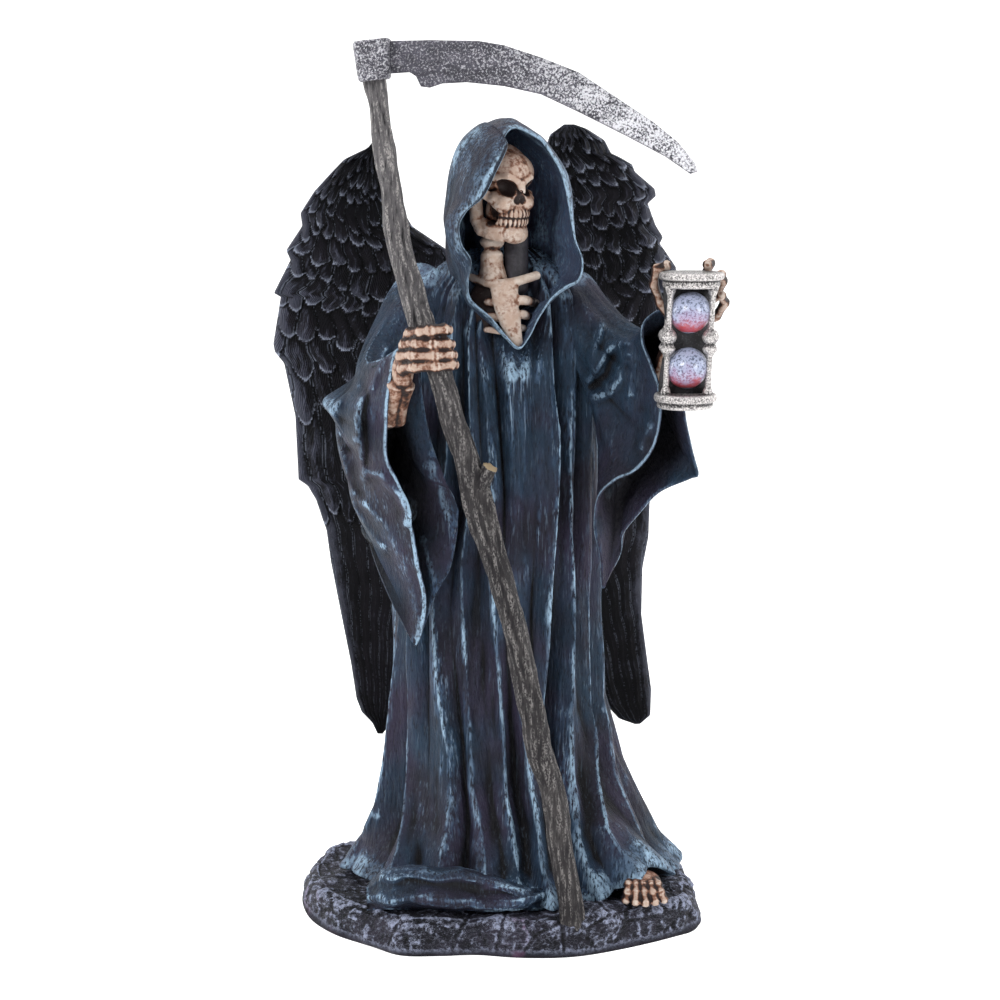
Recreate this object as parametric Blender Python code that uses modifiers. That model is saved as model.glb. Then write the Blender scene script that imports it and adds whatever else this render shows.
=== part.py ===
# Grim reaper figurine, 300 mm tall: hooded skeleton in a long robe, with wings, scythe and hourglass.
# Lengths below are in millimetres. +Z is up, the figure faces -Y, the underside lies at z = 0.
import math

import bpy
import bmesh
import numpy as np

MM = 0.001
BASE_HEIGHT = 12.0
FIT_GAP = 0.3
CLOTH_WALL = 2.2
STAFF_RADIUS = 3.6
STAFF_FOOT_Z = 8.0
STAFF_TOP_Z = 294.0
FIST_TOP_Z = 211.0
BLADE_PLANE_Y = -44.0
BLADE_BACK = 3.0
BLADE_EDGE = 0.9
WING_THICKNESS = 5.0
WING_RELIEF = 1.7
PLUG_SIZE = (9.0, 13.5, 38.0)
GLASS_CENTRE = (60.3, -50.0)
GLASS_RADIUS = 10.4
GLASS_BOTTOM = 183.2
GLASS_TOP = 226.8
BULB_RADIUS = 6.6
GLASS_LEAN = (0.04, 0.0, 0.0)

FIGURE_TRIANGLES = 5000
WING_TRIANGLES = 1120

PROJECT = "Grim reaper figurine"


# Start from an empty file and make the two collections.
for old in list(bpy.data.objects):
    bpy.data.objects.remove(old, do_unlink=True)
parts = bpy.data.collections.new(PROJECT)
helpers = bpy.data.collections.new("Cutters")
bpy.context.scene.collection.children.link(parts)
bpy.context.scene.collection.children.link(helpers)


def material(name, colour, roughness, metallic=0.0):
    made = bpy.data.materials.new(name)
    made.use_nodes = True
    shader = made.node_tree.nodes["Principled BSDF"]
    shader.inputs["Base Color"].default_value = (*colour, 1.0)
    shader.inputs["Roughness"].default_value = roughness
    shader.inputs["Metallic"].default_value = metallic
    made.diffuse_color = (*colour, 1.0)
    return made


def unit(vector):
    vector = np.asarray(vector, float)
    length = np.linalg.norm(vector, axis=-1, keepdims=True)
    return vector / np.maximum(length, 1e-9)


def smooth(low, high, value):
    share = np.clip((value - low) / (high - low), 0.0, 1.0)
    return share * share * (3.0 - 2.0 * share)


def closed_curve(points, count):
    points = np.asarray(points, float)
    total = len(points)
    place = np.arange(count) * total / count
    index = place.astype(int)
    t = (place - index)[:, None]
    a = points[(index - 1) % total]
    b = points[index % total]
    c = points[(index + 1) % total]
    d = points[(index + 2) % total]
    return 0.5 * (2 * b + (c - a) * t + (2 * a - 5 * b + 4 * c - d) * t ** 2
                  + (3 * b - a - 3 * c + d) * t ** 3)


def loft(rings):
    rings = np.asarray(rings, float)
    rows, count, _ = rings.shape
    verts = [tuple(point) for ring in rings for point in ring]
    faces = []
    for row in range(rows - 1):
        for side in range(count):
            after = (side + 1) % count
            faces.append((row * count + side, row * count + after,
                          (row + 1) * count + after, (row + 1) * count + side))
    for row in (0, rows - 1):
        centre = len(verts)
        verts.append(tuple(rings[row].mean(axis=0)))
        for side in range(count):
            faces.append((row * count + side, row * count + (side + 1) % count, centre))
    return verts, faces


def tube(points, radii, sides=8, squash=1.0, facing=(0.3, 0.2, 0.93)):
    points = np.asarray(points, float)
    radii = np.asarray(radii, float) * np.ones(len(points))
    along = unit(np.gradient(points, axis=0))
    across = unit(np.cross(along[0], facing))
    first = points[0] - along[0] * radii[0] * 0.55
    last = points[-1] + along[-1] * radii[-1] * 0.55
    places = [first, *points, last]
    sizes = [radii[0] * 0.55, *radii, radii[-1] * 0.55]
    ways = [along[0], *along, along[-1]]
    turn = np.arange(sides) * 2 * math.pi / sides
    rings = []
    for place, size, way in zip(places, sizes, ways):
        across = unit(across - way * np.dot(across, way))
        other = np.cross(way, across)
        rings.append(place + size * (np.cos(turn)[:, None] * across
                                     + squash * np.sin(turn)[:, None] * other))
    return loft(rings)


def ball(centre, radii, rows=10, sides=14):
    radii = np.ones(3) * radii
    rings = []
    for row in range(1, rows):
        lean = math.pi * row / rows
        turn = np.arange(sides) * 2 * math.pi / sides
        ring = np.stack([np.sin(lean) * np.cos(turn), np.sin(lean) * np.sin(turn),
                         np.full(sides, np.cos(lean))], axis=1)
        rings.append(np.asarray(centre) + ring * radii)
    verts, faces = loft(rings)
    verts[-2] = (centre[0], centre[1], centre[2] + radii[2])
    verts[-1] = (centre[0], centre[1], centre[2] - radii[2])
    return verts, faces


def turned(profile, centre, sides=18):
    turn = np.arange(sides) * 2 * math.pi / sides
    rings = []
    for radius, height in profile:
        rings.append(np.stack([centre[0] + radius * np.cos(turn), centre[1] + radius * np.sin(turn),
                               np.full(sides, height)], axis=1))
    return loft(rings)


def block(centre, size):
    half = np.asarray(size) / 2.0
    corners = np.array([(-1, -1), (1, -1), (1, 1), (-1, 1)]) * half[:2]
    rings = []
    for height in (-half[2], half[2]):
        ring = np.column_stack([corners, np.full(4, height)])
        rings.append(ring + np.asarray(centre))
    return loft(rings)


def moved(form, change):
    verts, faces = form
    return [tuple(point) for point in change(np.asarray(verts, float))], faces


def solid(name, forms, home=parts):
    mesh = bpy.data.meshes.new(name)
    verts = []
    faces = []
    for form_verts, form_faces in forms:
        start = len(verts)
        verts += [(x * MM, y * MM, z * MM) for x, y, z in form_verts]
        faces += [tuple(start + corner for corner in face) for face in form_faces]
    mesh.from_pydata(verts, [], faces)
    work = bmesh.new()
    work.from_mesh(mesh)
    bmesh.ops.recalc_face_normals(work, faces=work.faces)
    work.to_mesh(mesh)
    work.free()
    made = bpy.data.objects.new(name, mesh)
    home.objects.link(made)
    if home is helpers:
        made.display_type = 'WIRE'
        made.hide_render = True
    return made


def settle(thing):
    graph = bpy.context.evaluated_depsgraph_get()
    graph.update()
    finished = bpy.data.meshes.new_from_object(thing.evaluated_get(graph))
    thing.modifiers.clear()
    thing.data = finished
    thing.data.calc_loop_triangles()
    return len(thing.data.loop_triangles)


def fuse(thing, voxel):
    step = thing.modifiers.new("Fuse", 'REMESH')
    step.mode = 'VOXEL'
    step.voxel_size = voxel * MM
    return settle(thing)


def thin_out(thing, now, wanted):
    step = thing.modifiers.new("Facets", 'DECIMATE')
    step.ratio = wanted / now
    return settle(thing)


def combine(thing, other, operation):
    step = thing.modifiers.new("Fit", 'BOOLEAN')
    step.operation = operation
    step.solver = 'EXACT'
    step.object = other
    return settle(thing)


def dress(thing, *paints):
    thing.data.materials.clear()
    for paint in paints:
        thing.data.materials.append(paint)


# Rock base: an irregular slab with a flat underside and chipped sides.
BASE_OUTLINE = [(-71, 5), (-67, -18), (-57, -35), (-43, -47), (-33, -55), (-20, -55.5), (-8, -54.5),
                (6, -57), (20, -57), (31, -54), (45, -47), (59, -38), (67, -31), (70, -18), (69, 0),
                (64, 20), (52, 36), (34, 46), (12, 50), (-12, 50), (-34, 46), (-53, 37), (-66, 22)]


def rock_base(sides=84):
    edge = closed_curve([(x, y, 0.0) for x, y in BASE_OUTLINE], sides)
    turn = np.arange(sides) * 2 * math.pi / sides
    rings = []
    for height, share in ((-3.0, 1.0), (0.0, 1.0), (2.6, 1.0), (6.5, 0.985), (10.2, 0.965),
                          (BASE_HEIGHT, 0.915), (BASE_HEIGHT + 1.0, 0.8), (BASE_HEIGHT, 0.4)):
        rough = 1.0 + 0.011 * np.sin(13 * turn + height) + 0.009 * np.sin(29 * turn - 0.5 * height)
        rough = rough if height > 1.0 else 1.0
        ring = edge * share * np.reshape(rough, (-1, 1))
        ring[:, 2] = height + (0.5 * np.sin(7 * turn) if height > 9 else 0.0)
        rings.append(ring)
    return loft(rings)


# Robe: a tall ring loft whose folds run between ridge lines given as (height, angle) pairs.
ROBE_Z = [6, 16, 24, 37, 52, 75, 110, 150, 185, 205, 217, 226, 232]
ROBE_HALF_WIDTH = [60, 57.5, 51.5, 46.0, 41.2, 37.0, 34.8, 31, 31, 32, 29, 21, 12]
ROBE_HALF_DEPTH = [44, 42.5, 38.5, 34.5, 31.5, 29, 26.5, 23.5, 21.5, 20.5, 18.5, 15, 9]
ROBE_CENTRE = [5, 5, 3.5, 2.6, 0.5, -1.8, -1.4, 1, 0, 0, 1, 1, 1]
RIDGES = [
    ([23, 34, 54, 76, 150], [-83, -75, -73, -72, -74]),
    ([27, 43, 71, 96, 147], [-48, -52, -54, -56, -57]),
    ([30, 46, 64, 100, 127, 155, 197], [-27, -25, -25, -33, -38, -39, -30]),
    ([27, 51, 74, 101, 128, 171, 197], [-9, -13, -13, -17, -22, -19, -19]),
    ([29, 47, 74, 101, 129, 171, 205], [3, 2, 4, 0, -4, -8, -12]),
    ([30, 53, 81, 115, 149, 183, 199], [12, 13, 14, 12, 8, 6, 2]),
    ([27, 53, 78, 101, 128, 148, 172, 213], [19, 24, 27, 30, 33, 35, 38, 31]),
    ([33, 52, 79, 113, 187, 213], [30, 36, 43, 46, 51, 46]),
    ([34, 43, 66, 84, 112, 187, 213], [42, 46, 59, 63, 67, 71, 65]),
    ([23, 47, 67, 84, 150], [62, 70, 80, 82, 88]),
    ([23, 60, 150], [90, 96, 108]),
    ([20, 90, 190], [114, 118, 124]),
    ([20, 90, 190], [138, 144, 146]),
    ([20, 90, 190], [163, 166, 168]),
    ([20, 90, 190], [186, 190, 188]),
    ([20, 90, 190], [212, 210, 208]),
    ([20, 90, 190], [236, 234, 230]),
    ([20, 90, 190], [258, 256, 262])]
FOOT_TURN = math.radians(50)
FOLD_DEPTH = [3.8, 4.6, 4.0, 3.6, 4.2, 2.2, 6.6, 3.8, 4.6, 3.2, 3.0, 3.4, 3.8, 3.4, 3.6, 3.6, 3.4, 3.4]


def fold_offset(height, turn):
    lines = [math.radians(np.interp(height, z, angle)) for z, angle in RIDGES]
    lines.append(lines[0] + 2 * math.pi)
    crests = [1.4 + 1.0 * math.sin(0.038 * height + 2.4 * index) for index in range(len(RIDGES))]
    crests.append(crests[0])
    turn = (turn - lines[0]) % (2 * math.pi) + lines[0]
    offset = np.zeros_like(turn)
    for index, depth in enumerate(FOLD_DEPTH):
        start, finish = lines[index:index + 2]
        inside = (turn >= start) & (turn < finish)
        share = np.clip((turn - start) / max(finish - start, 1e-3), 0.0, 1.0)
        crisp = 0.5 + 0.5 * math.sin(0.029 * height + 1.7 * index)
        scoop = 1.0 - np.abs(np.cos(math.pi * share)) ** 0.85
        panel = np.sin(math.pi * share) ** 0.9
        swell = depth * (0.95 + 0.4 * math.sin(0.047 * height + 2.9 * index))
        crest = crests[index] * (1.0 - share) + crests[index + 1] * share
        offset = np.where(inside, crest - swell * (scoop * (1.0 - crisp) + panel * crisp), offset)
    grow = np.interp(height, [6, 14, 30, 90, 170, 212, 226], [0.8, 1.2, 1.35, 1.15, 0.95, 0.6, 0.1])
    return offset * grow


def drawn_folds(points, lines):
    """How far the cloth stands out along lines of (x, z) points, each with its rise and its width."""
    spots = points[..., [0, 2]]
    rise = np.zeros(spots.shape[:-1])
    for line, height, width in lines:
        nearest = np.full(rise.shape, 1e9)
        for start, finish in zip(line[:-1], line[1:]):
            run = np.subtract(finish, start)
            share = np.clip(((spots - start) @ run) / (run @ run), 0.0, 1.0)
            gap = np.linalg.norm(spots - start - share[..., None] * run, axis=-1)
            nearest = np.minimum(nearest, gap)
        rise = rise + height * np.exp(-(nearest / width) ** 2)
    return rise


# A fold of the hem lies forward over the rock: across, height of its crest, height of its edge.
HEM_FOLD = [(-45, 20.0, 16.0), (-40, 25.6, 16.0), (-31, 27.4, 17.8), (-25, 27.2, 18.2),
            (-16, 25.6, 17.0), (-8, 25.2, 15.8),
            (0, 23.1, 16.6), (7, 20.6, 17.4), (15, 18.0, 16.6)]


def hem_fold(stations, count):
    place = np.linspace(0.0, 1.0, stations)
    known = np.linspace(0.0, 1.0, len(HEM_FOLD))
    rings = []
    for x, crest, edge in zip(*(np.interp(place, known, column) for column in np.array(HEM_FOLD).T)):
        reach = smooth(-46, -34, x) * (1.0 - smooth(7, 16, x))
        crest = crest + 1.5 * math.exp(-((x + 14.0) / 5.0) ** 2)
        front = -44.5 - (7.5 + 1.1 * math.sin(0.27 * x + 1.0)) * reach
        dip = 1.3 * reach
        shape = [(-36, crest - 4.0), (-41, crest - 0.8), (front + 4.6, crest), (front + 2.2, crest - 1.7),
                 (front + 1.6 + dip, 0.55 * crest + 0.45 * edge), (front - 0.6, edge + 1.6),
                 (front - 0.2, edge - 0.3),
                 (front + 3.0, edge - 2.6), (-42, 11.0), (-36, 11.0)]
        rings.append(closed_curve([(x, y, z) for y, z in shape], count))
    return rings


def robe(sides=132):
    rings = []
    heights = list(np.arange(6.0, 40.0, 4.0)) + list(np.arange(40.0, 190.0, 8.0))
    heights += list(np.arange(190.0, 233.0, 4.0))
    turn = np.arange(sides) * 2 * math.pi / sides - math.pi / 2
    for height in heights:
        wide = np.interp(height, ROBE_Z, ROBE_HALF_WIDTH)
        deep = np.interp(height, ROBE_Z, ROBE_HALF_DEPTH)
        centre = np.interp(height, ROBE_Z, ROBE_CENTRE)
        fold = fold_offset(height, turn)
        x = centre + (wide + fold) * np.sin(turn)
        y = -(deep + fold) * np.cos(turn)
        hollow = 10.0 * smooth(189, 209, height) * np.exp(-((x - 5.0) / 8.5) ** 2)
        y = np.where(y < 0, y + hollow, y)
        pool = (1.0 - smooth(10, 24, height)) * np.exp(-((x + 10.0) / 32.0) ** 2)
        ripple = 3.0 + 1.8 * np.sin(0.42 * x + 0.6)
        y = np.where(y < 0, y - ripple * pool, y)
        ruffle = 3.2 * (np.abs(np.cos(8.5 * turn + 0.05 * height)) - 0.4) * (1.0 - smooth(14, 44, height))
        x = x + ruffle * np.sin(turn)
        y = y - ruffle * np.cos(turn)
        cuff = np.exp(-((turn - FOOT_TURN) / 0.21) ** 2)
        x = x + 3.5 * cuff * np.sin(turn) * (1.0 - smooth(22, 52, height))
        y = y - 3.5 * cuff * np.cos(turn) * (1.0 - smooth(22, 52, height))
        raised = 9.5 * cuff * (1.0 - smooth(16, 46, height))
        rings.append(np.stack([x, y, height + raised], axis=1))
    return loft(rings)


# Hood: a shell between its open rim and the back of the head, continued down to the V of the neck.
HOOD_RIM = [(5, -22.5, 272.4), (1.6, -27.5, 269.6), (2.4, -30.5, 266.2), (-1.6, -34.5, 257.5),
            (-5.4, -36, 250.2), (-10.8, -34, 245.5), (-13.4, -32, 240.5), (-12.6, -31, 234.4),
            (-9.5, -30, 229), (-10.5, -28, 222), (-9.5, -27, 216), (-3, -26.5, 210), (2, -26, 204),
            (6.5, -25.5, 200), (10, -25, 204), (13, -24, 210), (17, -23, 216), (22, -21.5, 220),
            (26.6, -19.5, 222.5), (27.6, -18.2, 229.0), (25.0, -18.8, 236), (23.2, -19.6, 246),
            (20.6, -20.5, 257), (15.0, -21.5, 266.6), (11.4, -22, 269.6)]
HEAD_CENTRE = np.array([0.5, -3.0, 243.0])
HOOD_BACK = np.array([-6.0, 25.0, -4.0])
HOOD_OUTER = np.array([19.4, 25.0, 31.6])
HOOD_INNER = np.array([13.0, 10.0, 24.0])


def hood_ring(share, wall, sides, inside=False):
    arm = closed_curve(HOOD_RIM, sides) - HEAD_CENTRE
    reach = np.linalg.norm(arm, axis=1, keepdims=True)
    way = arm / reach
    back = unit(HOOD_BACK)
    angle = np.arccos(np.clip((way * back).sum(axis=1, keepdims=True), -1, 1))
    turned_way = (np.sin((1 - share) * angle) * way + np.sin(share * angle) * back) / np.sin(angle)
    stretch = np.abs(turned_way / (HOOD_INNER if inside else HOOD_OUTER)) ** 2.5
    shell = stretch.sum(axis=1, keepdims=True) ** -0.4
    toward = smooth(0.0, 0.42 if inside else 0.24, share)
    return HEAD_CENTRE + turned_way * ((1 - toward) * (reach - wall) + toward * shell)


def hood(sides=72):
    outer = [hood_ring(share, 0.0, sides) for share in np.linspace(0.96, 0.0, 14)]
    lip = [hood_ring(0.0, CLOTH_WALL, sides) + np.array([0, 0.6, 0])]
    inner = [hood_ring(share, CLOTH_WALL, sides, True) for share in np.linspace(0.08, 0.85, 11)]
    return loft(outer + lip + inner)


# Skull, turned to its left and bowed: built upright around its own centre, then placed.
SKULL_PLACE = np.array([0.2, -15.5, 252.0])
SKULL_TURN = math.radians(34)
SKULL_BOW = math.radians(8)


def place_skull(points):
    x, y, z = points.T
    y, z = (y * math.cos(SKULL_BOW) - z * math.sin(SKULL_BOW),
            y * math.sin(SKULL_BOW) + z * math.cos(SKULL_BOW))
    x, y = (x * math.cos(SKULL_TURN) - y * math.sin(SKULL_TURN),
            x * math.sin(SKULL_TURN) + y * math.cos(SKULL_TURN))
    return np.stack([x, y, z], axis=1) + SKULL_PLACE


def skull():
    forms = [ball((0, 2.5, 5.4), (10.0, 12.2, 10.0), 10, 16), ball((0, -3.0, 6.4), (8.8, 8.6, 7.4), 10, 16),
             ball((0, -10.4, 3.8), (2.2, 1.7, 1.9), 8, 12), ball((0, -6.0, -2.0), (7.4, 6.2, 5.2), 10, 16),
             ball((0, -6.0, -5.4), (6.2, 6.2, 3.6), 10, 16), ball((0, -2.0, -7.0), (5.6, 6.0, 6.6), 10, 16),
             ball((0, -6.0, -11.6), (5.6, 5.9, 2.8), 10, 16), ball((0, -10.4, -13.2), (4.9, 2.9, 3.2), 8, 12)]
    for side in (-1, 1):
        forms.append(tube([(side * 0.8, -11.0, 3.9), (side * 4.8, -10.7, 5.6), (side * 8.0, -6.6, 5.4)],
                          [1.5, 1.8, 1.3], 8))
        forms.append(ball((side * 6.9, -6.9, -1.7), (2.8, 3.5, 2.3), 8, 12))
        forms.append(ball((side * 4.2, -8.2, -3.0), (4.5, 4.2, 3.7), 10, 16))
        forms.append(tube([(side * 9.0, -5.6, -1.0), (side * 10.0, -0.5, -0.4), (side * 9.5, 4.0, 0.6)],
                          [1.7, 1.3, 1.4], 8))
        forms.append(tube([(side * 8.6, 1.6, -2.5), (side * 8.1, 0.8, -10.0), (side * 6.8, -2.0, -13.4)],
                          [2.2, 2.4, 2.6], 8))
        forms.append(tube([(side * 7.6, 0.6, -11.4), (side * 6.2, -4.6, -12.8), (side * 3.6, -9.4, -13.2)],
                          [1.9, 2.0, 1.9], 8, 1.6, facing=(0, 0, 1)))
    forms.append(tube([(0, -11.4, 3.6), (0, -13.3, 1.0)], [1.4, 1.0], 8))
    for height, size, back in ((-6.4, 1.0, 0.0), (-8.9, 0.9, 0.3)):
        for index in range(11):
            turn = (index - 5) * 0.225
            x = 6.5 * math.sin(turn)
            y = -5.2 - 7.0 * math.cos(turn) + back
            forms.append(ball((x, y, height), (size * 0.62, size, 1.6), 6, 8))
    thing = solid("skull", forms, helpers)
    fuse(thing, 0.45)
    hollows = []
    for side in (-1, 1):
        socket = ball((0, 0, 0), (4.1, 4.9, 2.75), 8, 14)
        lean = side * math.radians(-20)
        socket = moved(socket, lambda points: np.stack([
            points[:, 0] * math.cos(lean) + points[:, 2] * math.sin(lean) + side * 5.0, points[:, 1] - 11.4,
            points[:, 2] * math.cos(lean) - points[:, 0] * math.sin(lean) + 2.3], axis=1))
        hollows.append(socket)
        hollows.append(ball((side * 7.6, -6.2, -7.2), (2.5, 3.6, 3.5), 8, 12))
        hollows.append(tube([(side * 0.4, -13.0, 1.4), (side * 1.3, -12.4, -2.2)], [0.9, 1.6], 8))
    hollows.append(ball((0, -9.4, -7.85), (7.8, 4.2, 0.34), 6, 16))
    for hollow in hollows:
        cutter = solid("socket", [hollow], helpers)
        combine(thing, cutter, 'DIFFERENCE')
    points = np.empty(len(thing.data.vertices) * 3)
    thing.data.vertices.foreach_get("co", points)
    points = place_skull(points.reshape(-1, 3) / MM)
    faces = [tuple(face.vertices) for face in thing.data.polygons]
    return [tuple(point) for point in points], faces


# Neck, breastbone and ribs seen in the V of the hood.
def chest():
    forms = [ball((-2.6, -14.0, 234.6), (4.2, 3.4, 2.5), 8, 12),
             tube([(-2.8, -14.0, 230.6), (-2.7, -14.2, 227.0), (-2.4, -15.0, 222.0)], [3.8, 3.9, 5.0], 8),
             ball((5.6, -18.4, 221.6), (6.6, 2.3, 2.2), 8, 14),
             ball((-3.5, -15.0, 213.5), (7.5, 3.0, 9.0), 8, 14),
             tube([(1.4, -19.8, 220.0), (2.0, -20.6, 214.0), (3.6, -21.2, 208.0), (6.0, -21.8, 201.0)],
                  [5.2, 4.4, 3.8, 2.0], 10, 0.5, facing=(0, 1, 0))]
    for drop, thick in ((4.4, 1.6), (8.8, 1.4), (12.6, 1.2)):
        forms.append(tube([(4.0, -19.8, 219.6 - drop), (7.4, -18.0, 219.4 - drop),
                           (11.5 - 0.3 * drop, -11.5, 216.8 - drop)],
                          [thick, thick + 0.2, thick], 8))
        forms.append(tube([(0.5, -19.0, 218.8 - drop), (-4.5, -17.2, 219.4 - drop),
                           (-8.5 + 0.3 * drop, -12.0, 217.8 - drop)],
                          [thick, thick, thick - 0.2], 8))
    return forms


def neck_support():
    return tube([(5.4, -11.5, 220.0), (5.4, -11.5, 228.0), (5.4, -11.5, 238.0)], [4.1, 4.1, 4.1], 12)


# Sleeves: wide hanging cuffs, lofted from a shoulder ring past an elbow ring to the open mouth.
RIGHT_MOUTH = [(-33, -42, 202), (-36, -45, 190), (-37.2, -45.5, 177), (-37, -45.5, 166), (-33.5, -46, 158.5),
               (-29.6, -45.5, 151), (-29, -43, 142), (-27.3, -41, 130), (-25, -39, 118), (-26, -37, 107.5),
               (-28.6, -35.5, 101.5), (-24.5, -34, 110), (-21, -34, 120), (-16.5, -35, 128),
               (-14.5, -34, 139), (-15, -33, 150), (-19, -33, 158), (-23, -34, 171),
               (-25, -36, 182), (-27, -38, 194)]
LEFT_MOUTH = [(53, -35, 214), (47, -36, 210), (46, -38, 204), (48.5, -39, 197), (51.5, -40, 188),
              (52, -40, 179), (50, -38, 169), (44.5, -36, 161.5), (37.5, -33, 157), (32.5, -30, 151),
              (31.5, -28, 140), (33.5, -26, 130), (34.5, -24, 119), (38, -22, 124), (41, -21.5, 130),
              (42, -21, 137), (47, -23, 144), (54, -26, 152), (63, -30, 157), (66, -31.5, 159),
              (63.5, -33, 168), (61, -34.5, 179), (61, -35, 191), (61, -34, 203), (59, -33, 211)]


def oval(centre, up, side, count):
    turn = np.arange(count)[:, None] * 2 * math.pi / count
    return np.asarray(centre) + np.cos(turn) * np.asarray(up) + np.sin(turn) * np.asarray(side)


def sleeve(shoulder, elbow, mouth, pleats, lines, outline, sides=96, rows=28):
    start = oval(*shoulder, sides)
    middle = oval(*elbow, sides)
    end = closed_curve(mouth, sides)
    turn = np.arange(sides) * 2 * math.pi / sides

    def surface(share):
        ring = (1 - share) ** 2 * start + 2 * share * (1 - share) * middle + share ** 2 * end
        outer_side = smooth(2.0, 11.0, ring[:, 0].mean() - ring[:, 0]) * smooth(0.0, 0.30, 1.0 - share)
        for height, width, inward in outline:
            ring[:, 0] += inward * outer_side * np.exp(-((ring[:, 2] - height) / width) ** 2)
        out = unit(ring - ring.mean(axis=0))
        wave = np.abs(np.cos(0.5 * pleats * turn + 1.6 * share)) - 0.5
        fade = math.sin(math.pi * min(share, 0.93)) * 1.7
        return ring + out * (wave * fade)[:, None]

    shares = np.linspace(0.0, 1.0, rows)
    outer = np.array([surface(share) for share in shares])
    outer[..., 1] -= drawn_folds(outer, lines)
    lengthways = np.gradient(outer, axis=0)
    around = np.roll(outer, -1, axis=1) - np.roll(outer, 1, axis=1)
    normal = unit(np.cross(around, lengthways))
    outward = unit(outer - outer.mean(axis=1, keepdims=True))
    sign = np.sign((normal * outward).sum())
    inner = outer - normal * sign * CLOTH_WALL
    first = rows // 2
    inner_rings = [inner[row] for row in range(rows - 1, first, -1)]
    return loft(list(outer) + inner_rings)


RIGHT_SLEEVE_FOLDS = [
    ([(-38.0, 199.3), (-42.0, 188.8), (-45.0, 184.6), (-46.7, 178.0), (-47.4, 171.4)], 2.6, 1.5),
    ([(-46.7, 178.0), (-45.2, 168.1), (-45.3, 157.8)], 2.0, 1.4),
    ([(-44.0, 160.8), (-39.4, 160.5), (-36.8, 157.5), (-32.2, 153.5), (-29.9, 148.2), (-30.3, 144.8)],
     3.0, 1.9),
    ([(-47.3, 188.5), (-49.9, 185.9), (-55.5, 181.9), (-56.2, 178.0), (-54.0, 171.4)], 2.4, 1.7),
    ([(-55.9, 173.4), (-53.4, 163.1), (-51.9, 153.8), (-49.4, 145.5), (-44.8, 138.8), (-39.6, 134.1)],
     2.6, 1.7),
    ([(-48.6, 151.5), (-44.1, 147.5), (-40.2, 144.1)], 1.4, 1.6),
    ([(-37.9, 141.5), (-33.0, 131.4), (-29.1, 117.9), (-27.2, 104.3)], 1.4, 2.4),
    ([(-51.2, 183.9), (-52.3, 174.7), (-50.4, 166.4)], -2.2, 2.2),
    ([(-49.5, 166.4), (-48.6, 158.1), (-46.7, 151.5)], -2.0, 2.0),
    ([(-41.4, 186.2), (-42.5, 174.7), (-42.0, 163.1)], -2.0, 2.2),
    ([(-23.6, 161.5), (-19.7, 151.5), (-15.8, 141.5), (-14.2, 136.4)], 2.2, 1.6),
    ([(-25.1, 136.4), (-22.8, 128.0), (-20.9, 118.6)], 2.0, 1.4),
    ([(-21.0, 164.1), (-16.8, 153.5), (-13.8, 146.5)], -1.8, 1.5)]
LEFT_SLEEVE_FOLDS = [
    ([(31.8, 183.1), (36.4, 185.1), (39.6, 190.3), (41.2, 198.2)], 2.4, 1.7),
    ([(29.8, 188.7), (33.7, 195.3), (36.9, 200.2), (41.8, 202.5)], 2.2, 1.6),
    ([(42.2, 201.5), (43.5, 194.6), (43.0, 185.4)], 1.8, 1.6),
    ([(49.0, 175.8), (47.0, 171.5), (46.4, 168.5)], 1.8, 1.2),
    ([(34.3, 207.1), (32.0, 200.5), (30.1, 193.3)], 1.8, 1.6),
    ([(31.5, 186.7), (35.7, 190.7), (37.9, 196.6)], -2.0, 1.5),
    ([(45.8, 199.9), (47.5, 190.7), (46.9, 180.8)], -1.8, 2.4),
    ([(35.4, 150.8), (39.6, 154.2), (46.2, 160.8), (51.1, 165.8)], 2.0, 1.8)]
SLEEVE_OUTLINE = [(206, 7, 4.0), (197, 8, 7.0), (188, 4, 2.5), (181, 4, -4.6), (144, 8, -4.4)]
RIGHT_SLEEVE = (((-25, 1, 212), (2, -5, 14), (-11, 8, 5)),
                ((-63, -15, 171), (3, -9, 12), (-14, 3, -3)), RIGHT_MOUTH, 9,
                RIGHT_SLEEVE_FOLDS, SLEEVE_OUTLINE)
LEFT_SLEEVE = (((26, -1, 212), (1, -3, 12), (-8, -9, 0)),
               ((47, -12, 180), (1, -3, 13), (-11, -6, 0)), LEFT_MOUTH, 9,
               LEFT_SLEEVE_FOLDS, [])


# Skeleton hands: the right one grips the staff, the left one holds the hourglass from behind.
RIGHT_KNUCKLES = [(-29.0, 207.0), (-30.6, 203.6), (-31.8, 199.8), (-31.4, 195.8)]
RIGHT_TIPS = [(-17.6, 208.8), (-16.8, 204.2), (-16.1, 200.7), (-15.7, 197.6)]


def right_hand():
    forms = [tube([(-35.8, -36.5, 176.5), (-32.6, -42.5, 188), (-31.4, -45, 193)], [4.0, 3.4, 3.4], 8),
             ball((-31.2, -46.0, 198.5), (3.0, 4.0, 7.4), 8, 12)]
    for (x, z), (tip_x, tip_z) in zip(RIGHT_KNUCKLES, RIGHT_TIPS):
        forms.append(tube([(x, -48.4, z), (x + 4.2, -53.4, 0.7 * z + 0.3 * tip_z + 0.5),
                           (tip_x - 4.6, -55.2, 0.3 * z + 0.7 * tip_z + 0.3), (tip_x, -52.8, tip_z),
                           (tip_x + 1.0, -49.0, tip_z - 0.4)], [2.1, 2.0, 2.0, 1.9, 1.5], 8))
    forms.append(tube([(-30, -43, 201), (-26, -40.8, 206.4), (-20.4, -41.4, 207.8)], [1.9, 1.7, 1.5], 8))
    return forms


def by_glass(side, points):
    """Points across from the glass's side, back from its rear edge and up from its top."""
    across = GLASS_CENTRE[0] + side * GLASS_RADIUS
    behind = GLASS_CENTRE[1] + GLASS_RADIUS
    return [(across + x, behind + y, GLASS_TOP + z) for x, y, z in points]


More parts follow.
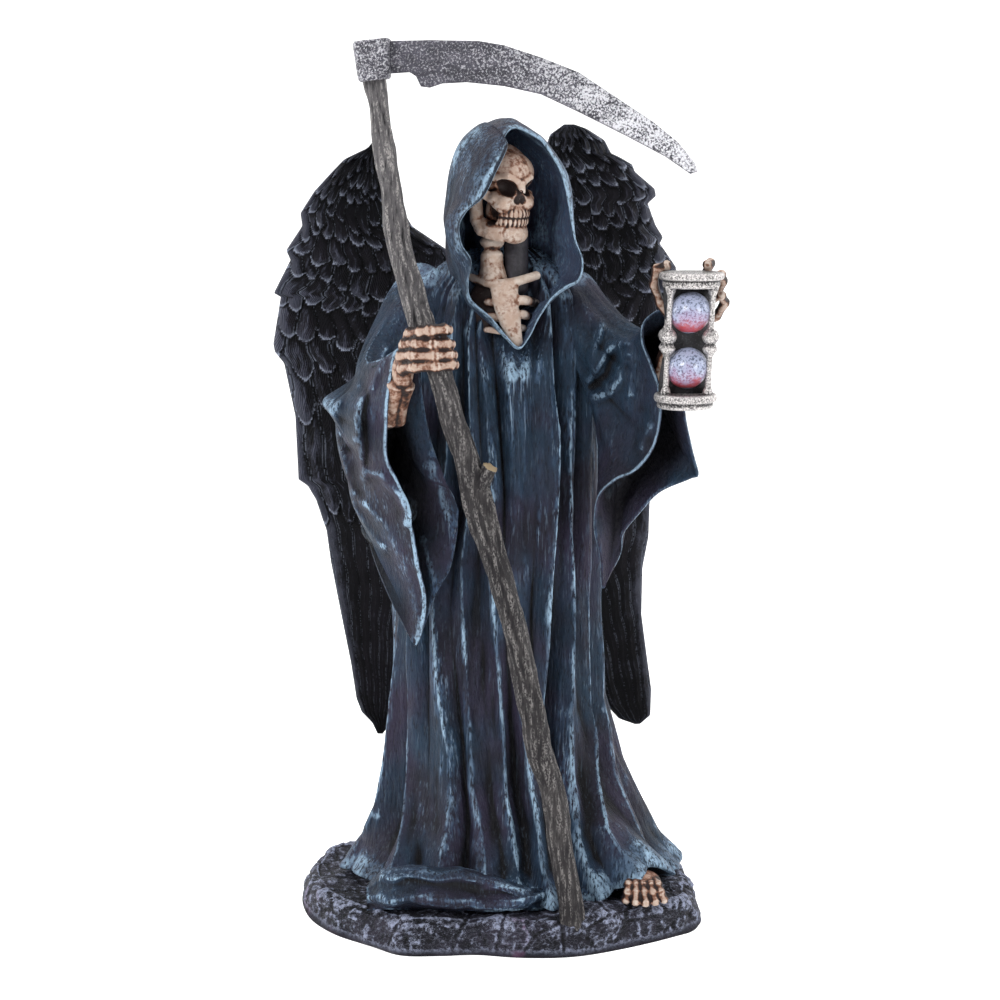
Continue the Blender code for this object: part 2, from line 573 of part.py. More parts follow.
def left_hand():
    wrist, palm = by_glass(0, [(-3.3, 2.6, -18.8), (-1.3, 2.1, -13.8)])
    forms = [tube([(48, -24, 182), (55, -33, 198), wrist], [3.2, 2.6, 3.0], 8),
             ball(palm, (GLASS_RADIUS - 3.4, 2.6, 6.0), 8, 12)]
    fingers = [(-1, [(2.1, 1.6, -12.8), (-0.3, -0.9, -4.4), (0.3, -4.2, 0.6), (3.7, -7.4, 2.0)]),
               (1, [(-7.7, 2.1, -8.8), (-4.7, 1.0, -2.4), (-2.9, -2.0, 2.4), (-4.3, -6.4, 2.0)]),
               (1, [(-4.7, 1.6, -12.8), (-0.7, -0.9, -8.2), (0.9, -4.8, -3.2), (-0.1, -8.0, -0.8)]),
               (1, [(-5.7, 1.6, -18.0), (-0.7, -1.4, -14.8), (1.5, -6.4, -10.0), (-0.1, -9.9, -7.4)])]
    for side, points in fingers:
        forms.append(tube(by_glass(side, points), [1.7, 1.6, 1.6, 1.4], 8))
    return forms


def foot():
    forms = [ball((48.4, -32, 17.6), (6.8, 7.0, 3.9), 8, 12)]
    tips = ((42.6, -40.4), (45.8, -42.4), (49.2, -43.2), (52.6, -42.2), (55.8, -39.8))
    for index, (x, y) in enumerate(tips):
        root = 44.5 + 1.8 * index
        forms.append(tube([(root, -33, 18.8), ((x + root) / 2, -37.8, 18.4), (x, y, 13.8)],
                          [1.7, 1.7, 1.4], 8))
    return forms


# Wings: curved plates with overlapping feathers in relief on both faces and a plug into the back.
RIGHT_WING_OUTER = [(267.0, -45.0), (265.3, -46.5), (261.5, -54.6), (257.2, -58.9), (250.2, -65.5),
                    (242.5, -70.6), (238.1, -70.0), (229.5, -75.8), (226.0, -74.4), (214.4, -80.4),
                    (213.0, -78.0), (196.4, -80.9), (193.5, -80.4), (189.2, -77.2), (170.3, -73.5),
                    (147.2, -72.7), (145.0, -69.4), (139.9, -66.4), (128.6, -62.8), (117.4, -61.4),
                    (102.3, -58.7), (79.6, -54.5), (66.2, -52.6), (61.1, -50.7), (57.0, -46.8),
                    (53.0, -45.0)]
RIGHT_WING_INNER = [(267.0, -43.0), (258.0, -40.5), (248.0, -37.0), (238.0, -31.0), (230.0, -19.0),
                    (222.0, -14.0), (190.0, -13.5), (165.0, -19.0), (130.0, -24.0), (100.0, -29.0),
                    (75.0, -34.0), (64.0, -36.5), (60.0, -38.5), (54.5, -42.0), (53.0, -43.0)]
LEFT_WING_OUTER = [(273.5, 26.0), (272.0, 30.5), (268.0, 36.8), (263.5, 39.2), (262.0, 42.5),
                   (259.5, 46.8), (257.0, 47.8), (251.0, 55.0), (248.4, 55.6), (245.8, 52.6),
                   (238.0, 55.6), (233.8, 58.3), (231.5, 57.2), (226.2, 61.0), (223.0, 63.2),
                   (200.0, 65.0), (175.0, 62.0), (150.0, 56.0), (137.0, 54.6), (125.0, 54.3),
                   (113.5, 52.2), (96.0, 52.0), (83.0, 53.8), (67.5, 56.0), (57.5, 55.8), (54.5, 52.0)]
LEFT_WING_INNER = [(273.5, 22.5), (270.0, 17.5), (258.0, 13.5), (245.0, 12.5), (225.0, 11.0),
                   (190.0, 12.0), (165.0, 16.0), (130.0, 20.0), (100.0, 27.0), (75.0, 35.0),
                   (63.0, 38.8), (57.0, 44.0), (54.5, 50.0)]
ROW_ENDS = [7, 14, 21, 28.5, 36, 44, 52, 61, 71, 82, 98, 132, 400]


def odd(number, row, seed):
    return (np.sin(number * 12.9898 + row * 78.233 + seed * 37.719) * 43758.5453) % 1.0


def feather_relief(across, down, width):
    lift = np.zeros_like(down)
    found = np.zeros(down.shape, bool)
    before = np.full(down.shape, -8.0)
    for row, end in enumerate(ROW_ENDS):
        small = row < 9
        count = np.round(max(2.0, width / (6.6 if small else 8.2)))
        wander = 0.30 * np.sin(down * 0.13 + row * 2.1) + 0.16 * np.sin(down * 0.37 + across * 9.0 + row)
        raw = across * count + 0.5 * (row % 2) + wander * (1.0 if small else 0.5)
        number = np.floor(raw)
        place = 2.0 * (raw - number) - 1.0
        ragged = (odd(number, row, 1) - 0.5) * (5.5 if small else 9.0)
        tip = end + ragged + (3.4 if small else 7.0) * (np.sqrt(np.clip(1.0 - place ** 2, 0.0, 1.0)) - 0.6)
        here = (down < tip) & ~found
        share = np.clip((down - before) / np.maximum(tip - before, 1.0), 0.0, 1.0)
        barrel = 1.0 - 0.8 * place ** 2
        proud = 0.6 + 0.7 * odd(number, row, 2)
        lift = np.where(here, (0.2 + 0.8 * np.minimum(share * 1.3, 1.0)) * barrel * proud, lift)
        found |= here
        before = np.where(found, before, tip)
    return lift


def wing_sheet(outer, inner, sweep, rows, columns):
    top = max(outer[0][0], inner[0][0])
    low = outer[-1][0]
    heights = np.linspace(top, low, rows)
    z_out, x_out = np.array(outer[::-1]).T
    z_in, x_in = np.array(inner[::-1]).T
    share = np.linspace(0.0, 1.0, columns)
    start = np.interp(heights, z_in, x_in)[:, None]
    finish = np.interp(heights, z_out, x_out)[:, None]
    x = start + (finish - start) * share
    z = np.repeat(heights[:, None], columns, axis=1)
    width = float(np.abs(finish - start).max())
    y = sweep(np.abs(x), z)
    down = (top - z) + 0.0045 * (np.abs(x) - 40.0) ** 2
    lift = WING_RELIEF * feather_relief(np.repeat(share[None, :], rows, axis=0), down, width)
    rim = np.clip(1.0 - np.abs(2 * share - 1.0) ** 6, 0.0, 1.0)[None, :] ** 0.5
    ends = np.clip((heights[:, None] - low) / 10.0, 0.0, 1.0) * np.clip((top - heights[:, None]) / 4.0, 0, 1)
    body = WING_THICKNESS * (0.45 + 0.55 * smooth(90, 230, z))
    half = 0.5 * (0.8 + (body - 0.8) * rim * ends ** 0.5)
    relief = lift * (0.35 + 0.65 * rim) * (0.3 + 0.7 * ends)
    front = np.stack([x, y - half - relief, z], axis=2)
    back = np.stack([x, y + half + relief, z], axis=2)
    return front, back


def wing_form(outer, inner, sweep, rows=150, columns=44):
    front, back = wing_sheet(outer, inner, sweep, rows, columns)
    rings = []
    for row in range(rows):
        rings.append(np.concatenate([front[row], back[row][::-1]]))
    return loft(rings)


def right_sweep(x, z):
    return 27.2 + 0.075 * (x - 15.0) - 1.5 * smooth(235, 265, z) - 1.5 * smooth(70, 85, x)


def left_sweep(x, z):
    return 27.2 + 0.26 * (x - 12.0) - 1.5 * smooth(240, 270, z)


def wing_plug(x, grow):
    size = np.asarray(PLUG_SIZE) + 2 * grow
    return block((x, 14.0 + PLUG_SIZE[1] / 2.0, 207.0), size)


# Scythe staff: a crooked branch with one cut-off twig.
STAFF_PATH = [(24.2, -50, STAFF_FOOT_Z), (23.5, -50, 16.0), (20.6, -50, 35.7), (17.2, -50, 55.0),
              (13.7, -50, 66.7), (11.4, -50, 79.2), (8.1, -50, 94.7), (4.7, -50, 110.1),
              (0.6, -50, 125.5), (-6.8, -50, 149.9), (-11.5, -50, 168.2), (-14.5, -49.8, 177.3),
              (-18.3, -49, 190.9), (-25.7, -46, FIST_TOP_Z)]
STAFF_PATH += [(x, y, FIST_TOP_Z + share * (STAFF_TOP_Z - FIST_TOP_Z)) for x, y, share in (
    (-28.4, -45, 0.141), (-32.4, -44.4, 0.298), (-34.6, -44.2, 0.484), (-37.1, -44, 0.675),
    (-39.9, -44, 0.926), (-40.5, -44, 1.0))]
STAFF_GIRTH = [1.1, 1.05, 1.12, 1.06, 1.16, 1.04, 1.1, 1.06, 1.05, 1.3, 1.14, 1.06, 1.08, 1.2, 1.12,
               1.06, 0.98, 0.94, 0.88, 0.85]


def staff_form(grow, sides=10):
    radii = STAFF_RADIUS * np.asarray(STAFF_GIRTH) + grow
    points = np.asarray(STAFF_PATH, float)
    along = unit(np.gradient(points, axis=0))
    across = unit(np.cross(along[0], (0, 1, 0)))
    turn = np.arange(sides) * 2 * math.pi / sides
    rings = []
    for index, (place, way, size) in enumerate(zip(points, along, radii)):
        across = unit(across - way * np.dot(across, way))
        other = np.cross(way, across)
        bark = 1.0 if grow else 1.0 - 0.06 * (0.5 + 0.5 * np.sin(3 * turn + 1.3 * index))
        spoke = np.cos(turn)[:, None] * across + np.sin(turn)[:, None] * other
        rings.append(place + size * np.reshape(bark, (-1, 1)) * spoke)
    rings[0][:, 2] = STAFF_FOOT_Z - grow
    rings[-1][:, 2] = STAFF_TOP_Z + grow
    return loft(rings)


TWIG = [(-8.0, -50, 155.0), (-5.6, -51.5, 160.0), (-3.2, -52.6, 164.5)]


# Scythe head: curved blade with a heel and a bevelled edge, cast in one with its socket.
# Heights here are measured from the top of the staff.
BLADE_TOP = [(-40.0, 4.6), (-34.8, 5.1), (-22.2, 5.4), (-6.6, 5.1), (1.3, 3.8), (13.1, 0.0),
             (24.9, -4.6), (36.7, -12.3), (48.7, -20.1), (56.6, -26.4), (62.0, -32.8), (63.0, -35.7)]
BLADE_LOW = [(-40.0, -4.8), (-34.9, -5.0), (-28.6, -4.6), (-26.6, -5.8), (-25.1, -9.0),
             (-22.3, -9.4), (-18.3, -8.1), (-10.5, -7.7), (1.3, -8.9), (13.1, -11.5), (25.0, -17.0),
             (40.8, -24.8), (52.7, -31.0), (60.7, -36.4)]


def blade_form(stations=12):
    back_x, back_z = np.array(BLADE_TOP).T
    edge_x, edge_z = np.array(BLADE_LOW).T
    back_z = back_z + STAFF_TOP_Z
    edge_z = edge_z + STAFF_TOP_Z
    edge_at = np.array([0.0, 0.05, 0.11, 0.13, 0.15, 0.18, 0.22, 0.29, 0.4, 0.51, 0.63, 0.79, 0.92, 1.0])
    back_at = np.interp(back_x, [-40, 63.0], [0, 1])
    rings = []
    stops = sorted(set(list(np.linspace(0.0, 1.0, stations)) + list(edge_at)))
    for stop in stops:
        top = np.array([np.interp(stop, back_at, back_x), np.interp(stop, back_at, back_z)])
        low = np.array([np.interp(stop, edge_at, edge_x), np.interp(stop, edge_at, edge_z)])
        thick = BLADE_BACK * (1.0 - 0.55 * stop)
        step = low + (top - low) * 0.42
        y = BLADE_PLANE_Y
        rings.append([(top[0], y - thick / 2, top[1]), (top[0], y + thick / 2, top[1]),
                      (step[0], y + thick / 2, step[1]), (low[0], y + BLADE_EDGE / 2, low[1]),
                      (low[0], y - BLADE_EDGE / 2, low[1]), (step[0], y - thick / 2, step[1])])
    return loft(rings)


SOCKET_RINGS = [(-39.6, -7.1, 4.5, 5.2), (-39.9, -5.0, 5.3, 6.0), (-40.4, 3.0, 5.8, 6.3),
                (-40.6, 5.4, 5.4, 5.9)]


def socket_form():
    rings = []
    turn = np.arange(16) * 2 * math.pi / 16
    for x, z, wide, deep in SOCKET_RINGS:
        bulge_x = np.sign(np.cos(turn)) * np.abs(np.cos(turn)) ** 0.45 * wide
        bulge_y = np.sign(np.sin(turn)) * np.abs(np.sin(turn)) ** 0.45 * deep
        tilt = 0.12 * bulge_x if z < 5.3 else 0.1 * bulge_x
        rings.append(np.stack([x + bulge_x, BLADE_PLANE_Y + bulge_y, STAFF_TOP_Z + z + tilt], axis=1))
    return loft(rings)


# Hourglass: two stepped discs, four beaded posts, two bulbs and the cast web that joins them.
def hourglass_forms(grow):
    centre = GLASS_CENTRE
    step = 2.4
    forms = [
        turned([(GLASS_RADIUS + grow, GLASS_TOP - step - grow), (GLASS_RADIUS + grow, GLASS_TOP + grow)],
               centre, 18),
        turned([(GLASS_RADIUS - 1.2 + grow, GLASS_TOP - 5.0 - grow),
                (GLASS_RADIUS - 1.2 + grow, GLASS_TOP - 1.0)], centre, 18),
        turned([(GLASS_RADIUS - 0.3 + grow, GLASS_BOTTOM + 2.2),
                (GLASS_RADIUS - 0.3 + grow, GLASS_BOTTOM + 4.8 + grow)], centre, 18),
        turned([(GLASS_RADIUS - 1.4 + grow, GLASS_BOTTOM - grow),
                (GLASS_RADIUS - 1.4 + grow, GLASS_BOTTOM + 3.0)], centre, 18)]
    for turn in (35, 145, 215, 325):
        x = centre[0] + 8.2 * math.cos(math.radians(turn))
        y = centre[1] + 6.2 * math.sin(math.radians(turn))
        forms.append(turned([(1.0 + grow, GLASS_BOTTOM + 1.0), (1.0 + grow, 200.6 - grow),
                             (2.4 + grow, 202.2 - grow), (2.6 + grow, 207.2 + grow),
                             (1.0 + grow, 209.2 + grow), (1.0 + grow, GLASS_TOP - 1.0)], (x, y), 6))
    for height in (196.2, 214.0):
        forms.append(ball((*centre, height), BULB_RADIUS + grow, 8, 12))
    web = turned([(8.6 + grow, GLASS_BOTTOM + 3.0), (8.4 + grow, 193.0), (7.8 + grow, 198.6),
                  (5.6 + grow, 205.1), (7.8 + grow, 211.6), (8.4 + grow, 217.2),
                  (8.6 + grow, GLASS_TOP - 3.0)],
                 centre, 14)
    forms.append(moved(web, lambda points: points * (1, 0.5, 1) + (0, centre[1] * 0.5 + 3.4, 0)))
    return [moved(form, lambda points: points + np.outer(points[:, 2] - 205.0, GLASS_LEAN)) for form in forms]


# Assembly of the casting.
cloth_paint = material("painted_robe", (0.035, 0.045, 0.058), 0.6)
bone_paint = material("painted_bone", (0.62, 0.47, 0.30), 0.55)
rock_paint = material("painted_rock", (0.06, 0.065, 0.075), 0.75)
feather_paint = material("painted_feathers", (0.03, 0.03, 0.036), 0.6)
wood_paint = material("painted_staff", (0.13, 0.11, 0.09), 0.7)
steel_paint = material("painted_blade", (0.25, 0.26, 0.27), 0.4, 0.6)
silver_paint = material("painted_hourglass", (0.4, 0.39, 0.38), 0.4, 0.6)

figure_forms = [rock_base(), robe(), hood(), sleeve(*RIGHT_SLEEVE), sleeve(*LEFT_SLEEVE), skull()]
figure_forms += chest() + right_hand() + left_hand() + foot() + [loft(hem_fold(40, 28)), neck_support()]
figure = solid("reaper_figure", figure_forms)
count = fuse(figure, 0.6)
thin_out(figure, count, FIGURE_TRIANGLES)

cutters = [staff_form(FIT_GAP)] + hourglass_forms(FIT_GAP)
cutters += [wing_plug(-19.5, FIT_GAP), wing_plug(17.5, FIT_GAP)]
cutters.append(block((0, 0, -20.0), (200, 200, 40.0)))
for form in cutters:
    cutter = solid("cutter", [form], helpers)
    combine(figure, cutter, 'DIFFERENCE')
dress(figure, cloth_paint, bone_paint, rock_paint)

for name, outer, inner, sweep, plug_x in (
        ("wing_right", RIGHT_WING_OUTER, RIGHT_WING_INNER, right_sweep, -19.5),
        ("wing_left", LEFT_WING_OUTER, LEFT_WING_INNER, left_sweep, 17.5)):
    wing = solid(name, [wing_form(outer, inner, sweep)])
    wing.data.calc_loop_triangles()
    thin_out(wing, len(wing.data.loop_triangles), WING_TRIANGLES)
    plug = solid("plug", [wing_plug(plug_x, 0.0)], helpers)
    combine(wing, plug, 'UNION')
    dress(wing, feather_paint)

staff = solid("scythe_staff", [staff_form(0.0)])
twig = solid("twig", [tube(TWIG, [3.0, 2.7, 2.6], 10)], helpers)
combine(staff, twig, 'UNION')
dress(staff, wood_paint)

blade = solid("scythe_blade", [blade_form()])
socket = solid("socket block", [socket_form()], helpers)
combine(blade, socket, 'UNION')
bore = solid("socket bore", [staff_form(FIT_GAP)], helpers)
combine(blade, bore, 'DIFFERENCE')
dress(blade, steel_paint)

glass_forms = hourglass_forms(0.0)
hourglass = solid("hourglass", glass_forms[:1])
for form in glass_forms[1:]:
    piece = solid("hourglass piece", [form], helpers)
    combine(hourglass, piece, 'UNION')
dress(hourglass, silver_paint)

for helper in list(helpers.objects):
    bpy.data.objects.remove(helper, do_unlink=True)
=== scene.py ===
import math

import bmesh
import bpy
import numpy as np
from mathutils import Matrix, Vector, kdtree


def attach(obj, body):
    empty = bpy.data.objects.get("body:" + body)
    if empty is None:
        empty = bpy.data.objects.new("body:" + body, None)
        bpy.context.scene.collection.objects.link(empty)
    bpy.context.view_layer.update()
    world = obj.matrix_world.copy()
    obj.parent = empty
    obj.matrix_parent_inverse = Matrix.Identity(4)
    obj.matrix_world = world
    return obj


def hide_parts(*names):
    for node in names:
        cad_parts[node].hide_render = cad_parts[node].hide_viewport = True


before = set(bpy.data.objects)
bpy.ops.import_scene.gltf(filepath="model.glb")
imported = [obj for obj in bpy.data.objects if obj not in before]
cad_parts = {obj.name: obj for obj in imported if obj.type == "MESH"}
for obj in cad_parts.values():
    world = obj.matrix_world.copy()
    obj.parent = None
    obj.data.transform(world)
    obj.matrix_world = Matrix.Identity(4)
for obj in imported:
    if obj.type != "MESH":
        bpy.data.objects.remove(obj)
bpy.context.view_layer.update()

# ---------------------------------------------------------------- rock base
# The figure stands on a rough slab of cast stone with chipped, cracked sides and a flat underside.
# It is painted near black and dry-brushed grey-blue on the high spots. Cast in one with the robe.
MM = 0.001
BASE_HEIGHT = 12.0
ROCK_CHIPS = 260
BASE_OUTLINE = [
    (-71, 5), (-67, -18), (-57, -35), (-43, -47), (-33, -55), (-20, -55.5), (-8, -54.5), (6, -57),
    (20, -57), (31, -54), (45, -47), (59, -38), (67, -31), (70, -18), (69, 0), (64, 20), (52, 36),
    (34, 46), (12, 50), (-12, 50), (-34, 46), (-53, 37), (-66, 22)]


def unit(vector):
    vector = np.asarray(vector, float)
    length = np.linalg.norm(vector, axis=-1, keepdims=True)
    return vector / np.maximum(length, 1e-9)


def smooth(low, high, value):
    share = np.clip((value - low) / (high - low), 0.0, 1.0)
    return share * share * (3.0 - 2.0 * share)


def turns(count):
    return np.arange(count) * 2 * math.pi / count


def spline(a, b, c, d, t):
    """The place at t between b and c on the smooth curve through four points."""
    return 0.5 * (2 * b + (c - a) * t + (2 * a - 5 * b + 4 * c - d) * t ** 2
                  + (3 * b - a - 3 * c + d) * t ** 3)


def closed_curve(points, count):
    points = np.asarray(points, float)
    total = len(points)
    place = np.arange(count) * total / count
    index = place.astype(int)
    return spline(*(points[(index + step) % total] for step in (-1, 0, 1, 2)), (place - index)[:, None])


def grain(points, size, seed=0):
    """Smooth value noise from -1 to 1, with lumps of the given size or sizes in mm."""
    place = np.asarray(points, float) / np.asarray(size, float) + 100.0
    cell = np.floor(place).astype(np.int64)
    part = smooth(0.0, 1.0, place - cell)
    total = np.zeros(place.shape[:-1])
    for corner in range(8):
        step = np.array([corner & 1, corner >> 1 & 1, corner >> 2 & 1])
        x, y, z = np.moveaxis(cell + step, -1, 0)
        mixed = x * 73856093 ^ y * 19349663 ^ z * 83492791 ^ seed * 2654435
        mixed = (mixed ^ (mixed >> 13)) * 1274126177 & 0x7FFFFFFF
        worth = (mixed ^ (mixed >> 15)) % 65536 / 32767.5 - 1.0
        weight = np.prod(np.where(step == 1, part, 1 - part), axis=-1)
        total += worth * weight
    return total


def skin(rings, ends=True):
    """Points and faces of a closed skin over rings of equal count, with a fan at each end."""
    rings = np.asarray(rings, float)
    rows, count, _ = rings.shape
    points = rings.reshape(-1, 3)
    row, side = np.meshgrid(np.arange(rows - 1), np.arange(count), indexing="ij")
    after = (side + 1) % count
    quads = np.stack([row * count + side, row * count + after,
                      (row + 1) * count + after, (row + 1) * count + side], axis=-1).reshape(-1, 4)
    faces = quads.tolist()
    if ends:
        points = np.vstack([points, rings[0].mean(axis=0), rings[-1].mean(axis=0)])
        for start, hub in ((0, rows * count), ((rows - 1) * count, rows * count + 1)):
            faces += [(start + k, start + (k + 1) % count, hub) for k in range(count)]
    return points, faces


def piece_from(name, forms):
    points = []
    faces = []
    start = 0
    for form_points, form_faces in forms:
        points.append(np.asarray(form_points, float))
        faces += [tuple(start + corner for corner in face) for face in form_faces]
        start += len(form_points)
    mesh = bpy.data.meshes.new(name)
    mesh.from_pydata(np.vstack(points) * MM, [], faces)
    work = bmesh.new()
    work.from_mesh(mesh)
    bmesh.ops.recalc_face_normals(work, faces=work.faces)
    work.to_mesh(mesh)
    work.free()
    mesh.shade_smooth()
    made = bpy.data.objects.new(name, mesh)
    bpy.context.scene.collection.objects.link(made)
    return made


def points_of(piece):
    flat = np.empty(len(piece.data.vertices) * 3)
    piece.data.vertices.foreach_get("co", flat)
    return flat.reshape(-1, 3)


def note(piece, name, values):
    made = piece.data.attributes.new(name, 'FLOAT', 'POINT')
    made.data.foreach_set("value", np.asarray(values, dtype=np.float32).ravel())


def note_wear(piece, fine=2, broad=14, wide=60):
    """Marks how far each point stands out of or sinks below its surroundings, at three distances."""
    mesh = piece.data
    points = points_of(piece)
    edges = np.empty(len(mesh.edges) * 2, dtype=np.int64)
    mesh.edges.foreach_get("vertices", edges)
    a, b = edges.reshape(-1, 2).T
    total = len(points)
    share = np.maximum(np.bincount(a, minlength=total) + np.bincount(b, minlength=total), 1)
    normal = np.empty(total * 3)
    mesh.vertices.foreach_get("normal", normal)
    normal = normal.reshape(-1, 3)
    eased = points.copy()
    marks = {fine: "edge", broad: "fold", wide: "rise"}
    for step in range(1, wide + 1):
        around = np.empty_like(eased)
        for axis in range(3):
            column = eased[:, axis]
            summed = np.bincount(a, column[b], total) + np.bincount(b, column[a], total)
            around[:, axis] = summed / share
        eased = 0.5 * eased + 0.5 * around
        if step in marks:
            note(piece, marks[step], ((points - eased) * normal).sum(axis=1) / MM)


class Wire:
    """A socket that takes part in sums; each operator adds the Math node it stands for."""

    def __init__(self, paint, socket):
        self.paint = paint
        self.socket = socket

    def sum(self, operation, *others, clamp=False):
        return self.paint.node("ShaderNodeMath", {"operation": operation, "use_clamp": clamp},
                               {0: self, **{k + 1: other for k, other in enumerate(others)}})

    def __add__(self, other):
        return self.sum('ADD', other)

    def __sub__(self, other):
        return self.sum('SUBTRACT', other)

    def __rsub__(self, other):
        return self.paint.node("ShaderNodeMath", {"operation": 'SUBTRACT'}, {0: other, 1: self})

    def __mul__(self, other):
        return self.sum('MULTIPLY', other)

    def __truediv__(self, other):
        return self.sum('DIVIDE', other)

    __radd__ = __add__
    __rmul__ = __mul__

    def clipped(self):
        return self.sum('ADD', 0.0, clamp=True)

    def between(self, low, high):
        return self.paint.node(
            "ShaderNodeMapRange", {"interpolation_type": 'SMOOTHSTEP', "clamp": True},
            {"Value": self, "From Min": low, "From Max": high})


class Paint:
    """One material: its node tree, and the few ways in which the paints here use it."""

    def __init__(self, name):
        self.material = bpy.data.materials.new(name)
        self.material.use_nodes = True
        self.tree = self.material.node_tree
        self.shader = self.tree.nodes["Principled BSDF"]
        self.colour = None

    def put(self, socket, value):
        if isinstance(value, Wire):
            self.tree.links.new(value.socket, socket)
        elif isinstance(value, tuple) and len(value) == 3 and socket.type == 'RGBA':
            socket.default_value = (*value, 1.0)
        else:
            socket.default_value = value

    def node(self, kind, settings=None, inputs=None, output=0):
        made = self.tree.nodes.new(kind)
        for key, value in (settings or {}).items():
            setattr(made, key, value)
        for key, value in (inputs or {}).items():
            self.put(made.inputs[key], value)
        return Wire(self, made.outputs[output])

    def mark(self, name):
        return self.node("ShaderNodeAttribute", {"attribute_name": name}, output="Fac")

    def marks(self, *names):
        return [self.mark(name) for name in names]

    def place(self, stretch=(1.0, 1.0, 1.0)):
        spot = self.node("ShaderNodeTexCoord", output="Object")
        return self.node("ShaderNodeMapping", {}, {"Vector": spot, "Scale": stretch})

    def axis(self, name):
        return self.node("ShaderNodeSeparateXYZ", {}, {0: self.place()}, output=name)

    def noise(self, scale, detail=3.0, roughness=0.5, stretch=(1.0, 1.0, 1.0)):
        return self.node(
            "ShaderNodeTexNoise", {"noise_dimensions": '3D'},
            {"Vector": self.place(stretch), "Scale": scale, "Detail": detail, "Roughness": roughness})

    def blend(self, share, under, over):
        return self.node("ShaderNodeMix", {"data_type": 'RGBA'}, {0: share, 6: under, 7: over}, 2)

    def ground(self, share, dark, light):
        self.colour = self.blend(share, dark, light)

    def coat(self, share, tint):
        self.colour = self.blend(share, self.colour, tint)

    def bump(self, height, depth, under=None):
        below = {} if under is None else {"Normal": under}
        inputs = {"Height": height, "Distance": depth, "Strength": 1.0, **below}
        return self.node("ShaderNodeBump", {}, inputs)

    def finish(self, piece, roughness, normal=None, metallic=None, **fixed):
        values = {"Base Color": self.colour, "Roughness": roughness, "Metallic": metallic, "Normal": normal}
        values.update((key.replace("_", " "), value) for key, value in fixed.items())
        for key, value in values.items():
            if value is not None:
                self.put(self.shader.inputs[key], value)
        piece.data.materials.append(self.material)


def rock_surface(sides=340, side_rows=22, top_rows=36):
    edge = closed_curve([(x, y, 0.0) for x, y in BASE_OUTLINE], sides)
    chips = kdtree.KDTree(ROCK_CHIPS)
    spots = np.random.default_rng(7).uniform((-76, -62, -4), (76, 56, 16), (ROCK_CHIPS, 3))
    for index, spot in enumerate(spots):
        chips.insert(spot, index)
    chips.balance()
    profile = [(height, np.interp(height, [0, 2, 6, 10, 12], [1.0, 1.0, 0.988, 0.968, 0.93]))
               for height in np.linspace(0.0, BASE_HEIGHT, side_rows)]
    profile += [(BASE_HEIGHT, share) for share in np.linspace(0.915, 0.45, top_rows)]
    rings = []
    for height, share in profile:
        ring = edge * share
        ring[:, 2] = height
        nearest = [chips.find_n(point, 2) for point in ring]
        crack = np.array([second[2] - first[2] for first, second in nearest])
        chip = 0.6 * smooth(0.0, 1.5, crack) - 0.45
        lump = 1.5 * grain(ring, 11, 3) + 0.8 * grain(ring, 4.6, 4)
        vein = 0.5 * np.abs(grain(ring, 3.1, 5)) + 0.35 * np.abs(grain(ring, 1.7, 6))
        rise = chip + lump - vein
        if share < 0.92:
            ring[:, 2] += 0.85 * rise + 0.9 * grain(ring, 16, 9)
        else:
            keep = smooth(0.0, 1.0, np.full(sides, height))
            out = unit(edge * np.array([1.0, 1.3, 0.0]))
            ring += out * (rise * 0.95 * keep)[:, None]
            ring[:, 2] += 0.8 * rise * smooth(8.0, BASE_HEIGHT, height)
        rings.append(ring)
    return skin(rings)


base = piece_from("rock_base", [rock_surface()])
note_wear(base)

paint = Paint("painted_rock")
edge, fold = paint.marks("edge", "fold")
off_floor = paint.axis("Z").between(0.0003, 0.0040)
grit = paint.noise(900, 4.0, 0.6)
scratch = paint.noise(360, 5.0, 0.7, (1.0, 1.0, 2.0))
vein = (scratch - 0.5).sum('ABSOLUTE').between(0.020, 0.004)
high = (edge * 4.0 + fold * 0.8 + (grit - 0.5)).between(0.15, 0.85)
paint.ground(paint.noise(60).between(0.35, 0.7), (0.006, 0.006, 0.010), (0.022, 0.020, 0.032))
# Painted shade: the cracks and hollows of the rock are darkened to near black.
paint.coat((fold + edge * 2.0).between(0.05, -0.55), (0.002, 0.002, 0.003))
rubbed = (high * off_floor * (0.25 + grit.between(0.42, 0.60) * 0.75)).clipped()
paint.coat(rubbed, (0.25, 0.28, 0.39))
pale = (vein * off_floor * (0.15 + (fold + grit - 0.5).between(-0.1, 0.5) * 0.7)).clipped()
paint.coat(pale, (0.36, 0.39, 0.51))
blush = (paint.noise(70).between(0.60, 0.72) * high).clipped()
paint.coat(blush * 0.5, (0.16, 0.07, 0.14))
relief = paint.bump(scratch, 0.0010, paint.bump(grit, 0.0006))
paint.finish(base, 0.55 + paint.noise(500) * 0.25, relief, Specular_IOR_Level=0.2)
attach(base, "root")
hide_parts("reaper_figure")

# ---------------------------------------------------------------- robe
# A long robe of cast resin whose heavy folds fall from the shoulders and pool on the rock.
# Its paint is charcoal with a teal wash, dry-brushed light blue along every fold and edge, with
# painted shade deep in the folds.
# Half width, half depth and centre of the robe at each height, in mm.
ROBE_Z = [6, 16, 24, 37, 52, 75, 110, 150, 185, 205, 217, 226, 232]
ROBE_HALF_WIDTH = [60, 57.5, 51.5, 46.0, 41.2, 37.0, 34.8, 31, 31, 32, 29, 21, 12]
ROBE_HALF_DEPTH = [44, 42.5, 38.5, 34.5, 31.5, 29, 26.5, 23.5, 21.5, 20.5, 18.5, 15, 9]
ROBE_CENTRE = [5, 5, 3.5, 2.6, 0.5, -1.8, -1.4, 1, 0, 0, 1, 1, 1]
